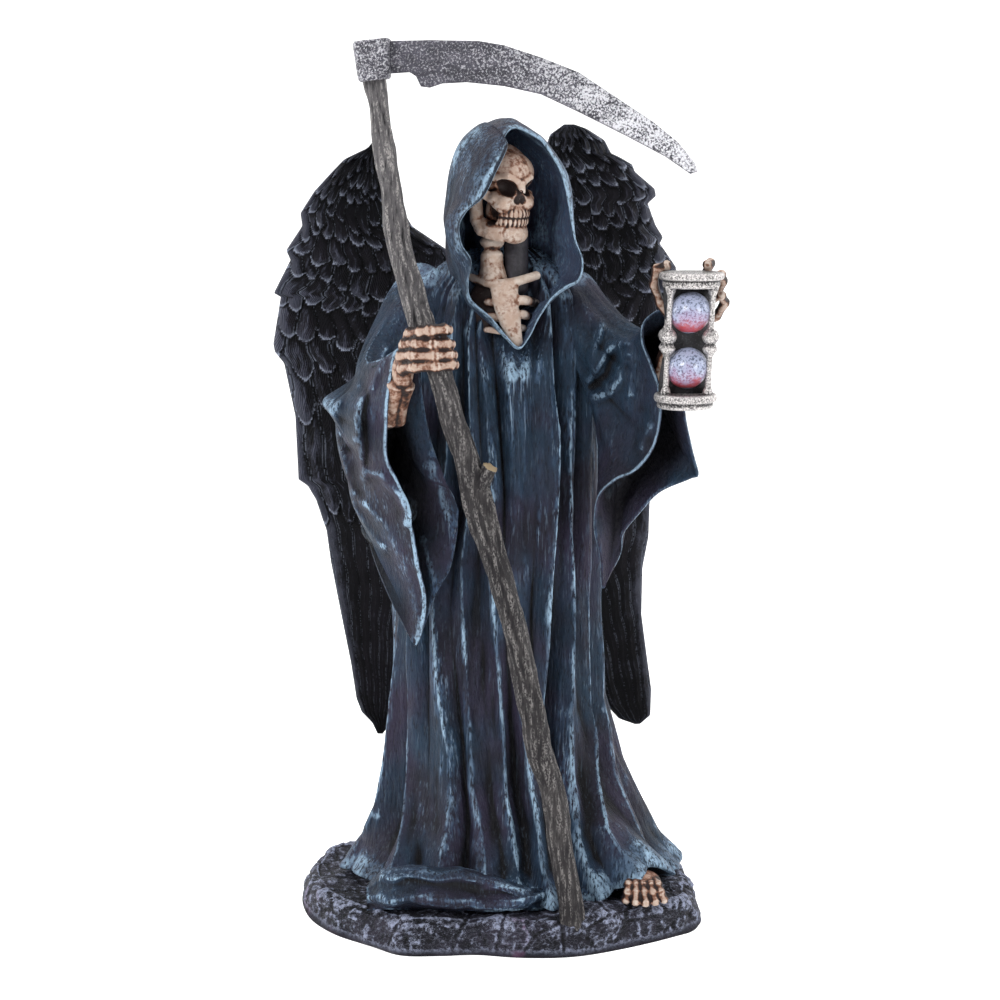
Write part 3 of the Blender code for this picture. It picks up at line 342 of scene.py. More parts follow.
# Crests of the folds: heights, and the angle round the robe at each, in degrees from the front.
RIDGES = [
    ([23, 34, 54, 76, 150], [-83, -75, -73, -72, -74]),
    ([27, 43, 71, 96, 147], [-48, -52, -54, -56, -57]),
    ([30, 46, 64, 100, 127, 155, 197], [-27, -25, -25, -33, -38, -39, -30]),
    ([27, 51, 74, 101, 128, 171, 197], [-9, -13, -13, -17, -22, -19, -19]),
    ([29, 47, 74, 101, 129, 171, 205], [3, 2, 4, 0, -4, -8, -12]),
    ([30, 53, 81, 115, 149, 183, 199], [12, 13, 14, 12, 8, 6, 2]),
    ([27, 53, 78, 101, 128, 148, 172, 213], [19, 24, 27, 30, 33, 35, 38, 31]),
    ([33, 52, 79, 113, 187, 213], [30, 36, 43, 46, 51, 46]),
    ([34, 43, 66, 84, 112, 187, 213], [42, 46, 59, 63, 67, 71, 65]),
    ([23, 47, 67, 84, 150], [62, 70, 80, 82, 88]),
    ([23, 60, 150], [90, 96, 108])]
RIDGES += [([20, 90, 190], angles) for angles in (
    [114, 118, 124], [138, 144, 146], [163, 166, 168], [186, 190, 188], [212, 210, 208],
    [236, 234, 230], [258, 256, 262])]
# How deep the cloth sinks between each crest and the next.
FOLD_DEPTH = [3.8, 4.6, 4.0, 3.6, 4.2, 2.2, 6.6, 3.8, 4.6, 3.2, 3.0, 3.4, 3.8, 3.4, 3.6, 3.6, 3.4, 3.4]
FOOT_TURN = math.radians(50)


def fold_offset(height, turn):
    lines = [math.radians(np.interp(height, z, angle)) for z, angle in RIDGES]
    lines.append(lines[0] + 2 * math.pi)
    crests = [1.4 + 1.0 * math.sin(0.038 * height + 2.4 * index) for index in range(len(RIDGES))]
    crests.append(crests[0])
    turn = (turn - lines[0]) % (2 * math.pi) + lines[0]
    offset = np.zeros_like(turn)
    for index, depth in enumerate(FOLD_DEPTH):
        start, finish = lines[index:index + 2]
        inside = (turn >= start) & (turn < finish)
        share = np.clip((turn - start) / max(finish - start, 1e-3), 0.0, 1.0)
        crisp = 0.5 + 0.5 * math.sin(0.029 * height + 1.7 * index)
        scoop = 1.0 - np.abs(np.cos(math.pi * share)) ** 0.85
        panel = np.sin(math.pi * share) ** 0.9
        swell = depth * (0.95 + 0.4 * math.sin(0.047 * height + 2.9 * index))
        crest = crests[index] * (1.0 - share) + crests[index + 1] * share
        offset = np.where(inside, crest - swell * (scoop * (1.0 - crisp) + panel * crisp), offset)
    grow = np.interp(height, [6, 14, 30, 90, 170, 212, 226], [0.8, 1.2, 1.35, 1.15, 0.95, 0.6, 0.1])
    return offset * grow


# A fold of the hem lies forward over the rock: across, height of its crest, height of its edge.
HEM_FOLD = [
    (-45, 20, 16), (-40, 25.6, 16), (-31, 27.4, 17.8), (-25, 27.2, 18.2), (-16, 25.6, 17),
    (-8, 25.2, 15.8), (0, 23.1, 16.6), (7, 20.6, 17.4), (15, 18, 16.6)]


def hem_fold(stations, count):
    place = np.linspace(0.0, 1.0, stations)
    known = np.linspace(0.0, 1.0, len(HEM_FOLD))
    rings = []
    for x, crest, edge in zip(*(np.interp(place, known, column) for column in np.array(HEM_FOLD).T)):
        reach = smooth(-46, -34, x) * (1.0 - smooth(7, 16, x))
        crest = crest + 1.5 * math.exp(-((x + 14.0) / 5.0) ** 2)
        front = -44.5 - (7.5 + 1.1 * math.sin(0.27 * x + 1.0)) * reach
        dip = 1.3 * reach
        shape = [(-36, crest - 4.0), (-41, crest - 0.8), (front + 4.6, crest), (front + 2.2, crest - 1.7),
                 (front + 1.6 + dip, 0.55 * crest + 0.45 * edge), (front - 0.6, edge + 1.6),
                 (front - 0.2, edge - 0.3), (front + 3.0, edge - 2.6), (-42, 11.0), (-36, 11.0)]
        rings.append(closed_curve([(x, y, z) for y, z in shape], count))
    return rings


def robe_surface(sides=560, rows=140):
    turn = turns(sides) - math.pi / 2
    heights = np.concatenate([[13.0, 12.6, 13.2, 14.4], np.linspace(15.6, 232.0, rows)])
    spread = np.concatenate([[-5.0, -0.6, 0.9, 0.8], np.zeros(rows)])
    rings = []
    for height, extra in zip(heights, spread):
        wide = np.interp(height, ROBE_Z, ROBE_HALF_WIDTH)
        deep_half = np.interp(height, ROBE_Z, ROBE_HALF_DEPTH)
        centre = np.interp(height, ROBE_Z, ROBE_CENTRE)
        fold = fold_offset(height, turn) + extra
        x = centre + (wide + fold) * np.sin(turn)
        y = -(deep_half + fold) * np.cos(turn)
        around = np.stack([turn * 32.0, turn * 0.0, np.full(sides, height)], axis=1)
        crease = 0.95 * grain(around, (4.2, 4.2, 36.0), 21) + 0.5 * grain(around, (2.0, 2.0, 18.0), 22)
        crease = crease * smooth(14.0, 30.0, height)
        x = x + crease * np.sin(turn)
        y = y - crease * np.cos(turn)
        hollow = 10.0 * smooth(189, 209, height) * np.exp(-((x - 5.0) / 8.5) ** 2)
        y = np.where(y < 0, y + hollow, y)
        pool = (1.0 - smooth(10, 24, height)) * np.exp(-((x + 10.0) / 32.0) ** 2)
        ripple = 3.0 + 1.8 * np.sin(0.42 * x + 0.6)
        y = np.where(y < 0, y - ripple * pool, y)
        ruffle = 3.2 * (np.abs(np.cos(8.5 * turn + 0.05 * height)) - 0.4) * (1.0 - smooth(14, 44, height))
        x = x + ruffle * np.sin(turn)
        y = y - ruffle * np.cos(turn)
        over_foot = np.exp(-((turn - FOOT_TURN) / 0.21) ** 2)
        x = x + 3.5 * over_foot * np.sin(turn) * (1.0 - smooth(22, 52, height))
        y = y - 3.5 * over_foot * np.cos(turn) * (1.0 - smooth(22, 52, height))
        raised = 9.5 * over_foot * (1.0 - smooth(16, 46, height))
        hem = 1.3 * grain(np.stack([turn * 50, turn * 0, turn * 0], axis=1), 11, 31)
        lift = hem * (1.0 - smooth(13.0, 22.0, height))
        rings.append(np.stack([x, y, height + lift + raised], axis=1))
    return skin(rings)


def cloth_paint(piece, name, streak=(1.0, 1.0, 0.16), lit_brush_level=1.0):
    """Charcoal and teal, brushed light blue where the cloth stands out; folds and insides in painted shade.
    """
    paint = Paint(name)
    edge, fold, rise, inside, rim = paint.marks("edge", "fold", "rise", "inside", "rim")
    streaks = paint.noise(420, 5.0, 0.65, streak)
    hairs = paint.noise(1500, 3.0, 0.6, (1.0, 1.0, streak[2] * 0.4))
    scratch = paint.noise(1100, 4.0, 0.65, (1.0, 1.0, min(1.0, streak[2] * 1.6)))
    patches = paint.noise(75, 3.0, 0.6, (1.0, 1.0, 0.5))
    worn = patches.between(0.40, 0.60)
    high = rise * 0.15 + fold * 0.95 + edge * 3.4 - inside * 0.9
    brush = (high + (streaks - 0.5) * 2.2 + (patches - 0.5) * 1.3).between(0.04, 0.9)
    bright = (high + edge * 6.0 + rim * 1.7 + (streaks - 0.5) * 2.0).between(0.75, 1.60)
    bright = bright * (rim * 0.8 + 0.12 + worn * 0.88).clipped()
    hairline = (hairs.between(0.56, 0.64) * (brush * 0.9 + 0.14) * (0.25 + worn * 0.75)).clipped()
    paint.ground(paint.noise(45).between(0.38, 0.66), (0.0125, 0.0125, 0.024), (0.027, 0.0225, 0.046))
    teal = (paint.noise(30, 2.0).between(0.42, 0.62) * (0.25 + streaks * 1.1)).clipped()
    paint.coat(teal * 0.75, (0.010, 0.036, 0.066))
    paint.coat(scratch.between(0.46, 0.34) * 0.6, (0.005, 0.005, 0.009))
    # Painted shade: the cloth sinks to near black deep in its folds and hollows.
    sunk_wash_and_shade = (fold * 0.9 + rise * 0.15).between(0.05, -0.65)
    paint.coat(sunk_wash_and_shade, (0.0022, 0.0022, 0.004))
    # The inner wall of the hood near its rim is coloured a lighter blue.
    paint.coat((inside * -0.55).clipped(), (0.055, 0.070, 0.122))
    brushed = (brush * scratch.between(0.40, 0.60)).clipped()
    # The last argument dims the brushed colours below as painted shade.
    paint.coat(brushed * (0.82 * lit_brush_level), (0.050, 0.090, 0.158))
    paint.coat(hairline * lit_brush_level, (0.19, 0.27, 0.37))
    lit = (bright * (scratch.between(0.38, 0.56) + rim * 0.35).clipped()).clipped()
    paint.coat(lit * (0.9 * lit_brush_level), (0.33, 0.48, 0.63))
    # Painted shade: deeper inside the hood and the sleeves the cloth goes near black.
    paint.coat(inside.clipped(), (0.003, 0.003, 0.005))
    relief = paint.bump(streaks, 0.0013, paint.bump(scratch, 0.0009))
    rough = 0.36 + paint.noise(300) * 0.34
    paint.finish(piece, rough, relief, Specular_IOR_Level=0.22)


hem_rings = np.array(hem_fold(120, 64))
hem_rings[..., 1] -= (0.7 * grain(hem_rings, (12.0, 3.0, 3.0), 33)
                      + 0.3 * grain(hem_rings, (5.0, 1.4, 1.4), 34))
hem_rings[..., 2] += 0.4 * grain(hem_rings, (5.0, 3.0, 3.0), 35)
robe = piece_from("robe", [robe_surface(), skin(hem_rings)])
note_wear(robe, 3, 30, 110)
cloth_paint(robe, "painted_robe")
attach(robe, "root")
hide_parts("reaper_figure")

# ---------------------------------------------------------------- hood
# A deep cowl of the figure's casting, open at the front and drawn down to a V on the chest. Its
# rim shows the thickness of the cloth and catches the most paint; painted shade darkens the inside.
HOOD_RIM = [
    (5, -22.5, 272.4), (1.6, -27.5, 269.6), (2.4, -30.5, 266.2), (-1.6, -34.5, 257.5), (-5.4, -36, 250.2),
    (-10.8, -34, 245.5), (-13.4, -32, 240.5), (-12.6, -31, 234.4), (-9.5, -30, 229), (-10.5, -28, 222),
    (-9.5, -27, 216), (-3, -26.5, 210), (2, -26, 204), (6.5, -25.5, 200), (10, -25, 204), (13, -24, 210),
    (17, -23, 216), (22, -21.5, 220), (26.6, -19.5, 222.5), (27.6, -18.2, 229), (25, -18.8, 236),
    (23.2, -19.6, 246), (20.6, -20.5, 257), (15, -21.5, 266.6), (11.4, -22, 269.6)]
CLOTH_WALL = 2.2
HEAD_CENTRE = np.array([0.5, -3.0, 243.0])
HOOD_BACK = np.array([-6.0, 25.0, -4.0])
HOOD_OUTER = np.array([19.4, 25.0, 31.6])
HOOD_INNER = np.array([13.0, 10.0, 24.0])


def hood_ring(share, wall, sides, inside=False):
    arm = closed_curve(HOOD_RIM, sides) - HEAD_CENTRE
    reach = np.linalg.norm(arm, axis=1, keepdims=True)
    way = arm / reach
    back = unit(HOOD_BACK)
    angle = np.arccos(np.clip((way * back).sum(axis=1, keepdims=True), -1, 1))
    aim = (np.sin((1 - share) * angle) * way + np.sin(share * angle) * back) / np.sin(angle)
    outer, inner = ((np.abs(aim / shell) ** 2.5).sum(axis=1, keepdims=True) ** -0.4
                    for shell in (HOOD_OUTER, HOOD_INNER))
    toward = smooth(0.0, 0.24, share)
    length = (1 - toward) * reach + toward * outer
    if inside:
        toward = smooth(0.0, 0.42, share)
        length = np.minimum((1 - toward) * (reach - wall) + toward * inner, length - min(wall, 1.2))
    turn = turns(sides)
    spot = HEAD_CENTRE + aim * length
    drape = 0.9 * grain(spot, (9, 16, 18), 51) + 0.35 * grain(spot, (4, 7, 8), 52)
    drape = drape + 0.4 * np.cos(9 * turn + 5 * share)
    return HEAD_CENTRE + aim * (length + (drape * smooth(0.0, 0.12, share))[:, None])


def row_marks(sides, *fields):
    """Spreads one value a ring over the ring's points, with two more for the ends."""
    return [np.append(np.repeat(values, sides), [0.0, 0.0]) for values in fields]


def hood_surface(sides=240, outer_rows=60, inner_rows=35):
    """The outer shell, the lip and the inner shell, with their marks of painted inner shade and rim."""
    outer = [hood_ring(share, 0.0, sides) for share in np.linspace(0.97, 0.0, outer_rows)]
    lip = [hood_ring(0.0, 0.3 * CLOTH_WALL * depth, sides, True) - np.array([0, out, 0])
           for depth, out in ((0.12, 0.2), (0.4, 0.3), (0.7, 0.25), (0.95, 0.05))]
    shares = np.linspace(0.02, 0.85, inner_rows)
    walls = CLOTH_WALL * (0.3 + 0.7 * smooth(0.0, 0.10, shares))
    inner = [hood_ring(share, wall, sides, True) for share, wall in zip(shares, walls)]
    # How far inside: lighter blue near the rim, then painted shade that goes near black deeper in.
    depth = 0.75 * smooth(0.55, 0.85, shares) - 1.5 * (1.0 - smooth(0.18, 0.70, shares))
    depth = np.append(np.zeros(outer_rows + len(lip)), depth)
    turned_edge = [0.4, 0.9, 1.0, 1.0, 0.7, 0.5, 0.3]
    rim = np.concatenate([np.zeros(outer_rows - 2), turned_edge, np.zeros(inner_rows - 1)])
    return skin(outer + lip + inner), row_marks(sides, depth, rim)


hood_form, (hood_inner_shade, hood_rim) = hood_surface()
hood = piece_from("hood", [hood_form])
note(hood, "inside", hood_inner_shade)
note(hood, "rim", hood_rim)
note_wear(hood)
cloth_paint(hood, "painted_hood", (1.0, 1.0, 0.35))
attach(hood, "root")

# ---------------------------------------------------------------- skull
# A skull turned to its left and bowed under the hood, with brow, cheekbones, teeth and jaw.
# It is cast with the figure and painted ivory with a brown wash left in the hollows; the hollows,
# the far side and the top under the hood are darkened further as painted shade.
SKULL_PLACE = np.array([0.2, -15.5, 252.0])
SKULL_TURN = math.radians(34)
SKULL_BOW = math.radians(8)
FAR_SIDE = 0.82
# Where the brown wash and the painted shade of the hollows gather: centre, reach and lean of the
# sockets, cheeks, nose and mouth.
SKULL_WASH_AND_SHADE = [((-5.0, -10.6, 2.3), (4.3, 4.6, 2.9), 20), ((5.0, -10.6, 2.3), (4.3, 4.6, 2.9), -20),
                ((-7.4, -6.2, -7.2), (2.9, 3.6, 3.9), 0), ((7.4, -6.2, -7.2), (2.9, 3.6, 3.9), 0),
                ((0.0, -12.0, -0.7), (2.2, 2.6, 2.6), 0), ((0.0, -9.6, -7.6), (7.6, 4.6, 0.5), 0)]
TOOTH_STEP = 0.225


def spin(a, b, angle):
    return a * math.cos(angle) - b * math.sin(angle), a * math.sin(angle) + b * math.cos(angle)


def place_skull(points):
    x, y, z = np.asarray(points).T
    y, z = spin(y, z, SKULL_BOW)
    x, y = spin(x, y, SKULL_TURN)
    return np.stack([x, y, z], axis=1) + SKULL_PLACE


def ball(centre, radii, rows=14, sides=20):
    lean = np.linspace(0.02, math.pi - 0.02, rows)[:, None]
    turn = turns(sides)[None, :]
    shape = np.stack([np.sin(lean) * np.cos(turn), np.sin(lean) * np.sin(turn),
                      np.cos(lean) * np.ones_like(turn)], axis=2)
    return skin(np.asarray(centre) + shape * np.ones(3) * radii)


def tube(points, radii, sides=8, squash=1.0, rows=None, tail=0.55, facing=(0.3, 0.2, 0.93)):
    points = np.asarray(points, float)
    radii = np.asarray(radii, float) * np.ones(len(points))
    if rows:
        old = np.linspace(0.0, 1.0, len(points))
        new = np.linspace(0.0, 1.0, rows)
        near = np.clip(np.searchsorted(old, new, side="right") - 1, 0, len(points) - 2)
        t = ((new - old[near]) / (old[near + 1] - old[near]))[:, None]
        full = np.vstack([2 * points[0] - points[1], points, 2 * points[-1] - points[-2]])
        radii = np.interp(new, old, radii)
        points = spline(*(full[near + k] for k in range(4)), t)
    along = unit(np.gradient(points, axis=0))
    across = unit(np.cross(along[0], facing))
    places = [points[0] - along[0] * radii[0] * tail, *points, points[-1] + along[-1] * radii[-1] * tail]
    sizes = [radii[0] * 0.55, *radii, radii[-1] * 0.55]
    turn = turns(sides)
    rings = []
    for place, size, way in zip(places, sizes, [along[0], *along, along[-1]]):
        across = unit(across - way * np.dot(across, way))
        other = np.cross(way, across)
        rings.append(place + size * (np.cos(turn)[:, None] * across
                                     + squash * np.sin(turn)[:, None] * other))
    return skin(rings)


def settle(piece):
    graph = bpy.context.evaluated_depsgraph_get()
    graph.update()
    finished = bpy.data.meshes.new_from_object(piece.evaluated_get(graph))
    piece.modifiers.clear()
    piece.data = finished


def melt(piece, voxel, rounds=2):
    """Fuses overlapping forms into one skin and eases the steps that this leaves."""
    step = piece.modifiers.new("Melt", 'REMESH')
    step.mode = 'VOXEL'
    step.voxel_size = voxel * MM
    step = piece.modifiers.new("Ease", 'SMOOTH')
    step.factor = 0.5
    step.iterations = rounds
    settle(piece)
    piece.data.shade_smooth()


def carve(piece, forms):
    for form in forms:
        tool = piece_from("carving", [form])
        step = piece.modifiers.new("Carve", 'BOOLEAN')
        step.operation = 'DIFFERENCE'
        step.solver = 'EXACT'
        step.object = tool
        settle(piece)
        bpy.data.objects.remove(tool, do_unlink=True)


def eye_socket(side):
    points, faces = ball((0, 0, 0), (4.1, 4.9, 2.75), 20, 28)
    x, y, z = points.T
    x, z = spin(x, z, side * math.radians(20))
    return np.stack([x + side * 5.0, y - 11.4, z + 2.3], axis=1), faces


def skull_forms():
    forms = [ball((0, 2.5, 5.4), (10.0, 12.2, 10.0), 24, 36), ball((0, -3.0, 6.2), (9.1, 8.7, 7.2), 24, 36),
             ball((0, -10.4, 3.8), (2.2, 1.7, 1.9)), ball((0, -6.0, -2.0), (7.4, 6.2, 5.2), 24, 36),
             ball((0, -6.0, -5.4), (6.2, 6.2, 3.6), 24, 36), ball((0, -2.0, -7.0), (5.6, 6.0, 6.6), 24, 36),
             ball((0, -6.0, -11.6), (5.6, 5.9, 2.8), 24, 36), ball((0, -10.4, -13.2), (4.9, 2.9, 3.2))]
    for side in (-1, 1):
        small = 1.0 if side < 0 else FAR_SIDE
        near = side * small
        forms += [
            tube([(side * 0.8, -11.0, 3.9), (4.8 * near, -10.5, 5.5), (8.0 * near, -6.6, 5.2)],
                 [1.5, 1.8 * small, 1.3 * small], 14),
            ball((6.9 * near, -6.9, -1.7), (2.8 * small, 3.4, 2.2 * small)),
            ball((4.2 * near, -8.2, -3.0), (4.5 * small, 4.2, 3.7 * small), 24, 36),
            tube([(9.0 * near, -5.6, -1.0), (10.0 * near, -0.5, -0.4), (side * 9.5, 4.0, 0.6)],
                 [1.7, 1.3, 1.4], 14),
            tube([(side * 8.6, 1.6, -2.5), (side * 8.1, 0.8, -10.0), (side * 6.8, -2.0, -13.4)],
                 [2.2, 2.4, 2.6], 14),
            tube([(side * 7.6, 0.6, -11.4), (side * 6.2, -4.6, -12.8), (side * 3.6, -9.4, -13.2)],
                 [1.9, 2.0, 1.9], 14, 1.6, facing=(0, 0, 1))]
    forms.append(tube([(0, -11.4, 3.6), (0, -13.3, 1.0)], [1.4, 1.0], 14))
    for height, size, back in ((-6.4, 1.0, 0.0), (-8.9, 0.9, 0.3)):
        for index in range(11):
            turn = (index - 5) * TOOTH_STEP
            x = 6.5 * math.sin(turn)
            y = -5.2 - 7.0 * math.cos(turn) + back
            forms.append(ball((x, y, height), (size * 0.62, size, 1.6), 10, 12))
    return forms


skull = piece_from("skull", skull_forms())
melt(skull, 0.3, 1)
hollows = []
for side in (-1, 1):
    hollows += [eye_socket(side), ball((side * 7.6, -6.2, -7.2), (2.5, 3.6, 3.5), 16, 20),
                tube([(side * 0.4, -13.0, 1.4), (side * 1.3, -12.4, -2.2)], [0.9, 1.6], 14)]
hollows.append(ball((0, -9.4, -7.85), (7.8, 4.2, 0.34), 16, 30))
carve(skull, hollows)
melt(skull, 0.33, 1)
upright = points_of(skull) / MM
depth = np.zeros(len(upright))
for spot, radii, lean in SKULL_WASH_AND_SHADE:
    x, y, z = (upright - spot).T
    x, z = spin(x, z, math.radians(lean))
    far = np.linalg.norm(np.stack([x, y, z], axis=1) / radii, axis=1)
    depth = np.maximum(depth, 1.0 - smooth(0.62, 1.25, far))
x, y, z = upright.T
# Painted shade: the far side of the face, turned away under the hood, is darkened brown.
depth = np.maximum(depth, 0.36 * smooth(2.6, 7.0, x) * smooth(-9.5, -4.5, z) * smooth(6.5, 3.5, z))
# Painted shadow of the hood: the top of the cranium is darkened a little.
depth = np.maximum(depth, 0.10 * smooth(6.5, 11.0, z))
# Brown wash and painted shade in the gaps between the teeth.
between = smooth(0.72, 1.0, np.abs(np.sin(np.arctan2(x, -5.2 - y) * math.pi / TOOTH_STEP)))
teeth = smooth(-4.4, -5.4, z) * smooth(-10.9, -9.8, z) * smooth(-6.5, -8.0, y)
depth = np.maximum(depth, 0.42 * between * teeth)
skull.data.vertices.foreach_set("co", (place_skull(upright) * MM).ravel())
skull.data.update()
note(skull, "hollow_wash_and_shade", depth)
note_wear(skull, 3, 26)


def bone_paint(piece, name, extra_wash_and_shade=0.0):
    """Ivory with a brown and black wash and painted shade in the hollows; the last value spreads both."""
    paint = Paint(name)
    edge, fold = paint.marks("edge", "fold")
    mottled = paint.noise(700, 4.0, 0.6)
    blotches = paint.noise(240, 3.0, 0.6)
    # Brown wash and painted shade: hollows and marked places go brown, then black.
    sunk_wash_and_shade = (fold * -1.0 + edge * -2.5 + paint.mark("hollow_wash_and_shade") * 0.75 + (mottled - 0.5) * 0.9
            + (blotches - 0.5) * 1.1 + extra_wash_and_shade)
    paint.ground(blotches.between(0.35, 0.65), (0.39, 0.28, 0.22), (0.52, 0.44, 0.38))
    paint.coat(sunk_wash_and_shade.between(-0.16, 0.20), (0.19, 0.080, 0.045))
    paint.coat(sunk_wash_and_shade.between(0.08, 0.42), (0.016, 0.008, 0.007))
    rubbed = (edge * 5.0 + fold * 0.6 + (mottled - 0.5) * 1.4 - extra_wash_and_shade).between(0.25, 0.9)
    paint.coat(rubbed, (0.66, 0.58, 0.53))
    paint.finish(piece, 0.44 + mottled * 0.2, paint.bump(mottled, 0.0005), Specular_IOR_Level=0.3)


# The skull's 0.05 darkens it a little more, as painted shade under the hood.
bone_paint(skull, "painted_skull", 0.05)
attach(skull, "root")

# ---------------------------------------------------------------- neck and ribs
# The vertebrae, two collar bones, breastbone and ribs that show in the V of the hood. They are
# part of the figure's casting and painted ivory like the skull, with painted shade where they
# run back under the hood. The near-black post under the jaw fills the dark gap behind the neck.


def chest_forms():
    neck = ([(-2.8, -14.0, 230.6), (-2.7, -14.2, 227.0), (-2.4, -15.0, 222.0)], [3.8, 3.9, 5.0])
    collar_left = ([(0.4, -19.6, 220.6), (5.6, -19.5, 221.8), (12.6, -15.0, 223.6)], [1.9, 1.6, 1.5])
    collar_right = ([(-0.6, -19.4, 220.8), (-5.2, -17.6, 221.4), (-10.0, -13.0, 222.8)], [1.7, 1.5, 1.4])
    forms = [ball((-2.6, -14.0, 234.6), (4.2, 3.4, 2.5)),
             *(tube(*bone, 16, rows=14) for bone in (neck, collar_left, collar_right)),
             ball((-3.5, -15.0, 213.5), (7.5, 3.0, 9.0), 20, 28),
             tube([(1.4, -19.8, 220.0), (2.0, -20.6, 214.0), (3.6, -21.2, 208.0), (6.0, -21.8, 201.0)],
                  [4.8, 4.2, 3.6, 1.9], 20, 0.42, rows=14, facing=(0, 1, 0))]
    for drop, thick in ((4.6, 1.5), (9.4, 1.4), (13.8, 1.1)):
        left = [(4.0, -20.0, 219.9 - drop), (8.6 - 0.1 * drop, -18.8, 220.1 - drop),
                (14.0 - 0.35 * drop, -12.0, 218.4 - drop)]
        right = [(0.5, -19.0, 218.8 - drop), (-4.5, -17.2, 219.4 - drop),
                 (-8.5 + 0.3 * drop, -12.0, 217.8 - drop)]
        forms += [tube(left, [thick, thick + 0.2, thick], 16, rows=14),
                  tube(right, [thick, thick, thick - 0.2], 16, rows=14)]
    return forms


chest = piece_from("ribs", chest_forms())
melt(chest, 0.45, 2)
x, y, z = (points_of(chest) / MM).T
# Brown wash and painted shade where the ribs run back under the hood.
hollow = 1.3 * smooth(-20.0, -16.4, y) * smooth(223.0, 219.5, z)
# Brown wash and painted shade on the lower neck, under the jaw.
neck_wash_and_shade = 0.24 * smooth(233.0, 224.0, z) * smooth(-18.4, -15.0, y)
note(chest, "hollow_wash_and_shade", np.maximum(hollow, neck_wash_and_shade))
note_wear(chest, 3, 20)
bone_paint(chest, "painted_ribs")
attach(chest, "root")

# Painted shade in part: a near-black post fills the dark gap behind the neck, under the hood.
prop_path = [(5.4, -11.5, height) for height in (218.6, 228.0, 238.0)]
prop = piece_from("post_behind_neck", [tube(prop_path, 4.1, 48, rows=30)])
paint = Paint("near_black_post")
pits = paint.noise(900, 4.0, 0.6)
paint.ground(pits.between(0.35, 0.75), (0.010, 0.009, 0.013), (0.030, 0.026, 0.036))
paint.finish(prop, 0.5 + pits * 0.2, paint.bump(pits, 0.0003))
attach(prop, "root")

# ---------------------------------------------------------------- sleeves
# Wide hanging sleeves of the robe's casting, with pleats that run from the shoulder to a long open
# cuff. Painted like the robe, with a rubbed rim, and darkened inside as painted shade.
RIGHT_MOUTH = [
    (-33, -42, 202), (-36, -45, 190), (-37.2, -45.5, 177), (-37, -45.5, 166), (-33.5, -46, 158.5),
    (-29.6, -45.5, 151), (-29, -43, 142), (-27.3, -41, 130), (-25, -39, 118), (-26, -37, 107.5),
    (-28.6, -35.5, 101.5), (-24.5, -34, 110), (-21, -34, 120), (-16.5, -35, 128), (-14.5, -34, 139),
    (-15, -33, 150), (-19, -33, 158), (-23, -34, 171), (-25, -36, 182), (-27, -38, 194)]
LEFT_MOUTH = [
    (53, -35, 214), (47, -36, 210), (46, -38, 204), (48.5, -39, 197), (51.5, -40, 188), (52, -40, 179),
    (50, -38, 169), (44.5, -36, 161.5), (37.5, -33, 157), (32.5, -30, 151), (31.5, -28, 140),
    (33.5, -26, 130), (34.5, -24, 119), (38, -22, 124), (41, -21.5, 130), (42, -21, 137), (47, -23, 144),
    (54, -26, 152), (63, -30, 157), (66, -31.5, 159), (63.5, -33, 168), (61, -34.5, 179), (61, -35, 191),
    (61, -34, 203), (59, -33, 211)]
RIGHT_SLEEVE_FOLDS = [
    ([(-38.0, 199.3), (-42.0, 188.8), (-45.0, 184.6), (-46.7, 178.0), (-47.4, 171.4)], 2.6, 1.5),
    ([(-46.7, 178.0), (-45.2, 168.1), (-45.3, 157.8)], 2.0, 1.4),
    ([(-44.0, 160.8), (-39.4, 160.5), (-36.8, 157.5), (-32.2, 153.5), (-29.9, 148.2), (-30.3, 144.8)],
     3.0, 1.9),
    ([(-47.3, 188.5), (-49.9, 185.9), (-55.5, 181.9), (-56.2, 178.0), (-54.0, 171.4)], 2.4, 1.7),
    ([(-55.9, 173.4), (-53.4, 163.1), (-51.9, 153.8), (-49.4, 145.5), (-44.8, 138.8), (-39.6, 134.1)],
     2.6, 1.7),
    ([(-48.6, 151.5), (-44.1, 147.5), (-40.2, 144.1)], 1.4, 1.6),
    ([(-37.9, 141.5), (-33.0, 131.4), (-29.1, 117.9), (-27.2, 104.3)], 1.4, 2.4),
    ([(-51.2, 183.9), (-52.3, 174.7), (-50.4, 166.4)], -2.2, 2.2),
    ([(-49.5, 166.4), (-48.6, 158.1), (-46.7, 151.5)], -2.0, 2.0),
    ([(-43.4, 187.0), (-44.6, 179.0), (-43.8, 170.0), (-44.4, 163.1)], -1.9, 1.4),
    ([(-23.6, 161.5), (-19.7, 151.5), (-15.8, 141.5), (-14.2, 136.4)], 1.2, 1.9),
    ([(-25.1, 136.4), (-22.8, 128.0), (-20.9, 118.6)], 1.1, 1.8),
    ([(-21.0, 164.1), (-16.8, 153.5), (-13.8, 146.5)], -1.8, 1.5)]
LEFT_SLEEVE_FOLDS = [
    ([(31.8, 183.1), (36.4, 185.1), (39.6, 190.3), (41.2, 198.2)], 2.4, 1.7),
    ([(29.8, 188.7), (33.7, 195.3), (36.9, 200.2), (41.8, 202.5)], 2.2, 1.6),
    ([(42.2, 201.5), (43.5, 194.6), (43.0, 185.4)], 1.8, 1.6),
    ([(49.0, 175.8), (47.0, 171.5), (46.4, 168.5)], 1.8, 1.2),
    ([(34.3, 207.1), (32.0, 200.5), (30.1, 193.3)], 1.8, 1.6),
    ([(31.5, 186.7), (35.7, 190.7), (37.9, 196.6)], -2.0, 1.5),
    ([(45.8, 199.9), (47.5, 190.7), (46.9, 180.8)], -1.8, 2.4),
    ([(35.4, 150.8), (39.6, 154.2), (46.2, 160.8), (51.1, 165.8)], 2.0, 1.8)]
SLEEVE_OUTLINE = [(206, 7, 4.0), (197, 8, 7.0), (188, 4, 2.5), (181, 4, -4.6), (144, 8, -4.4)]
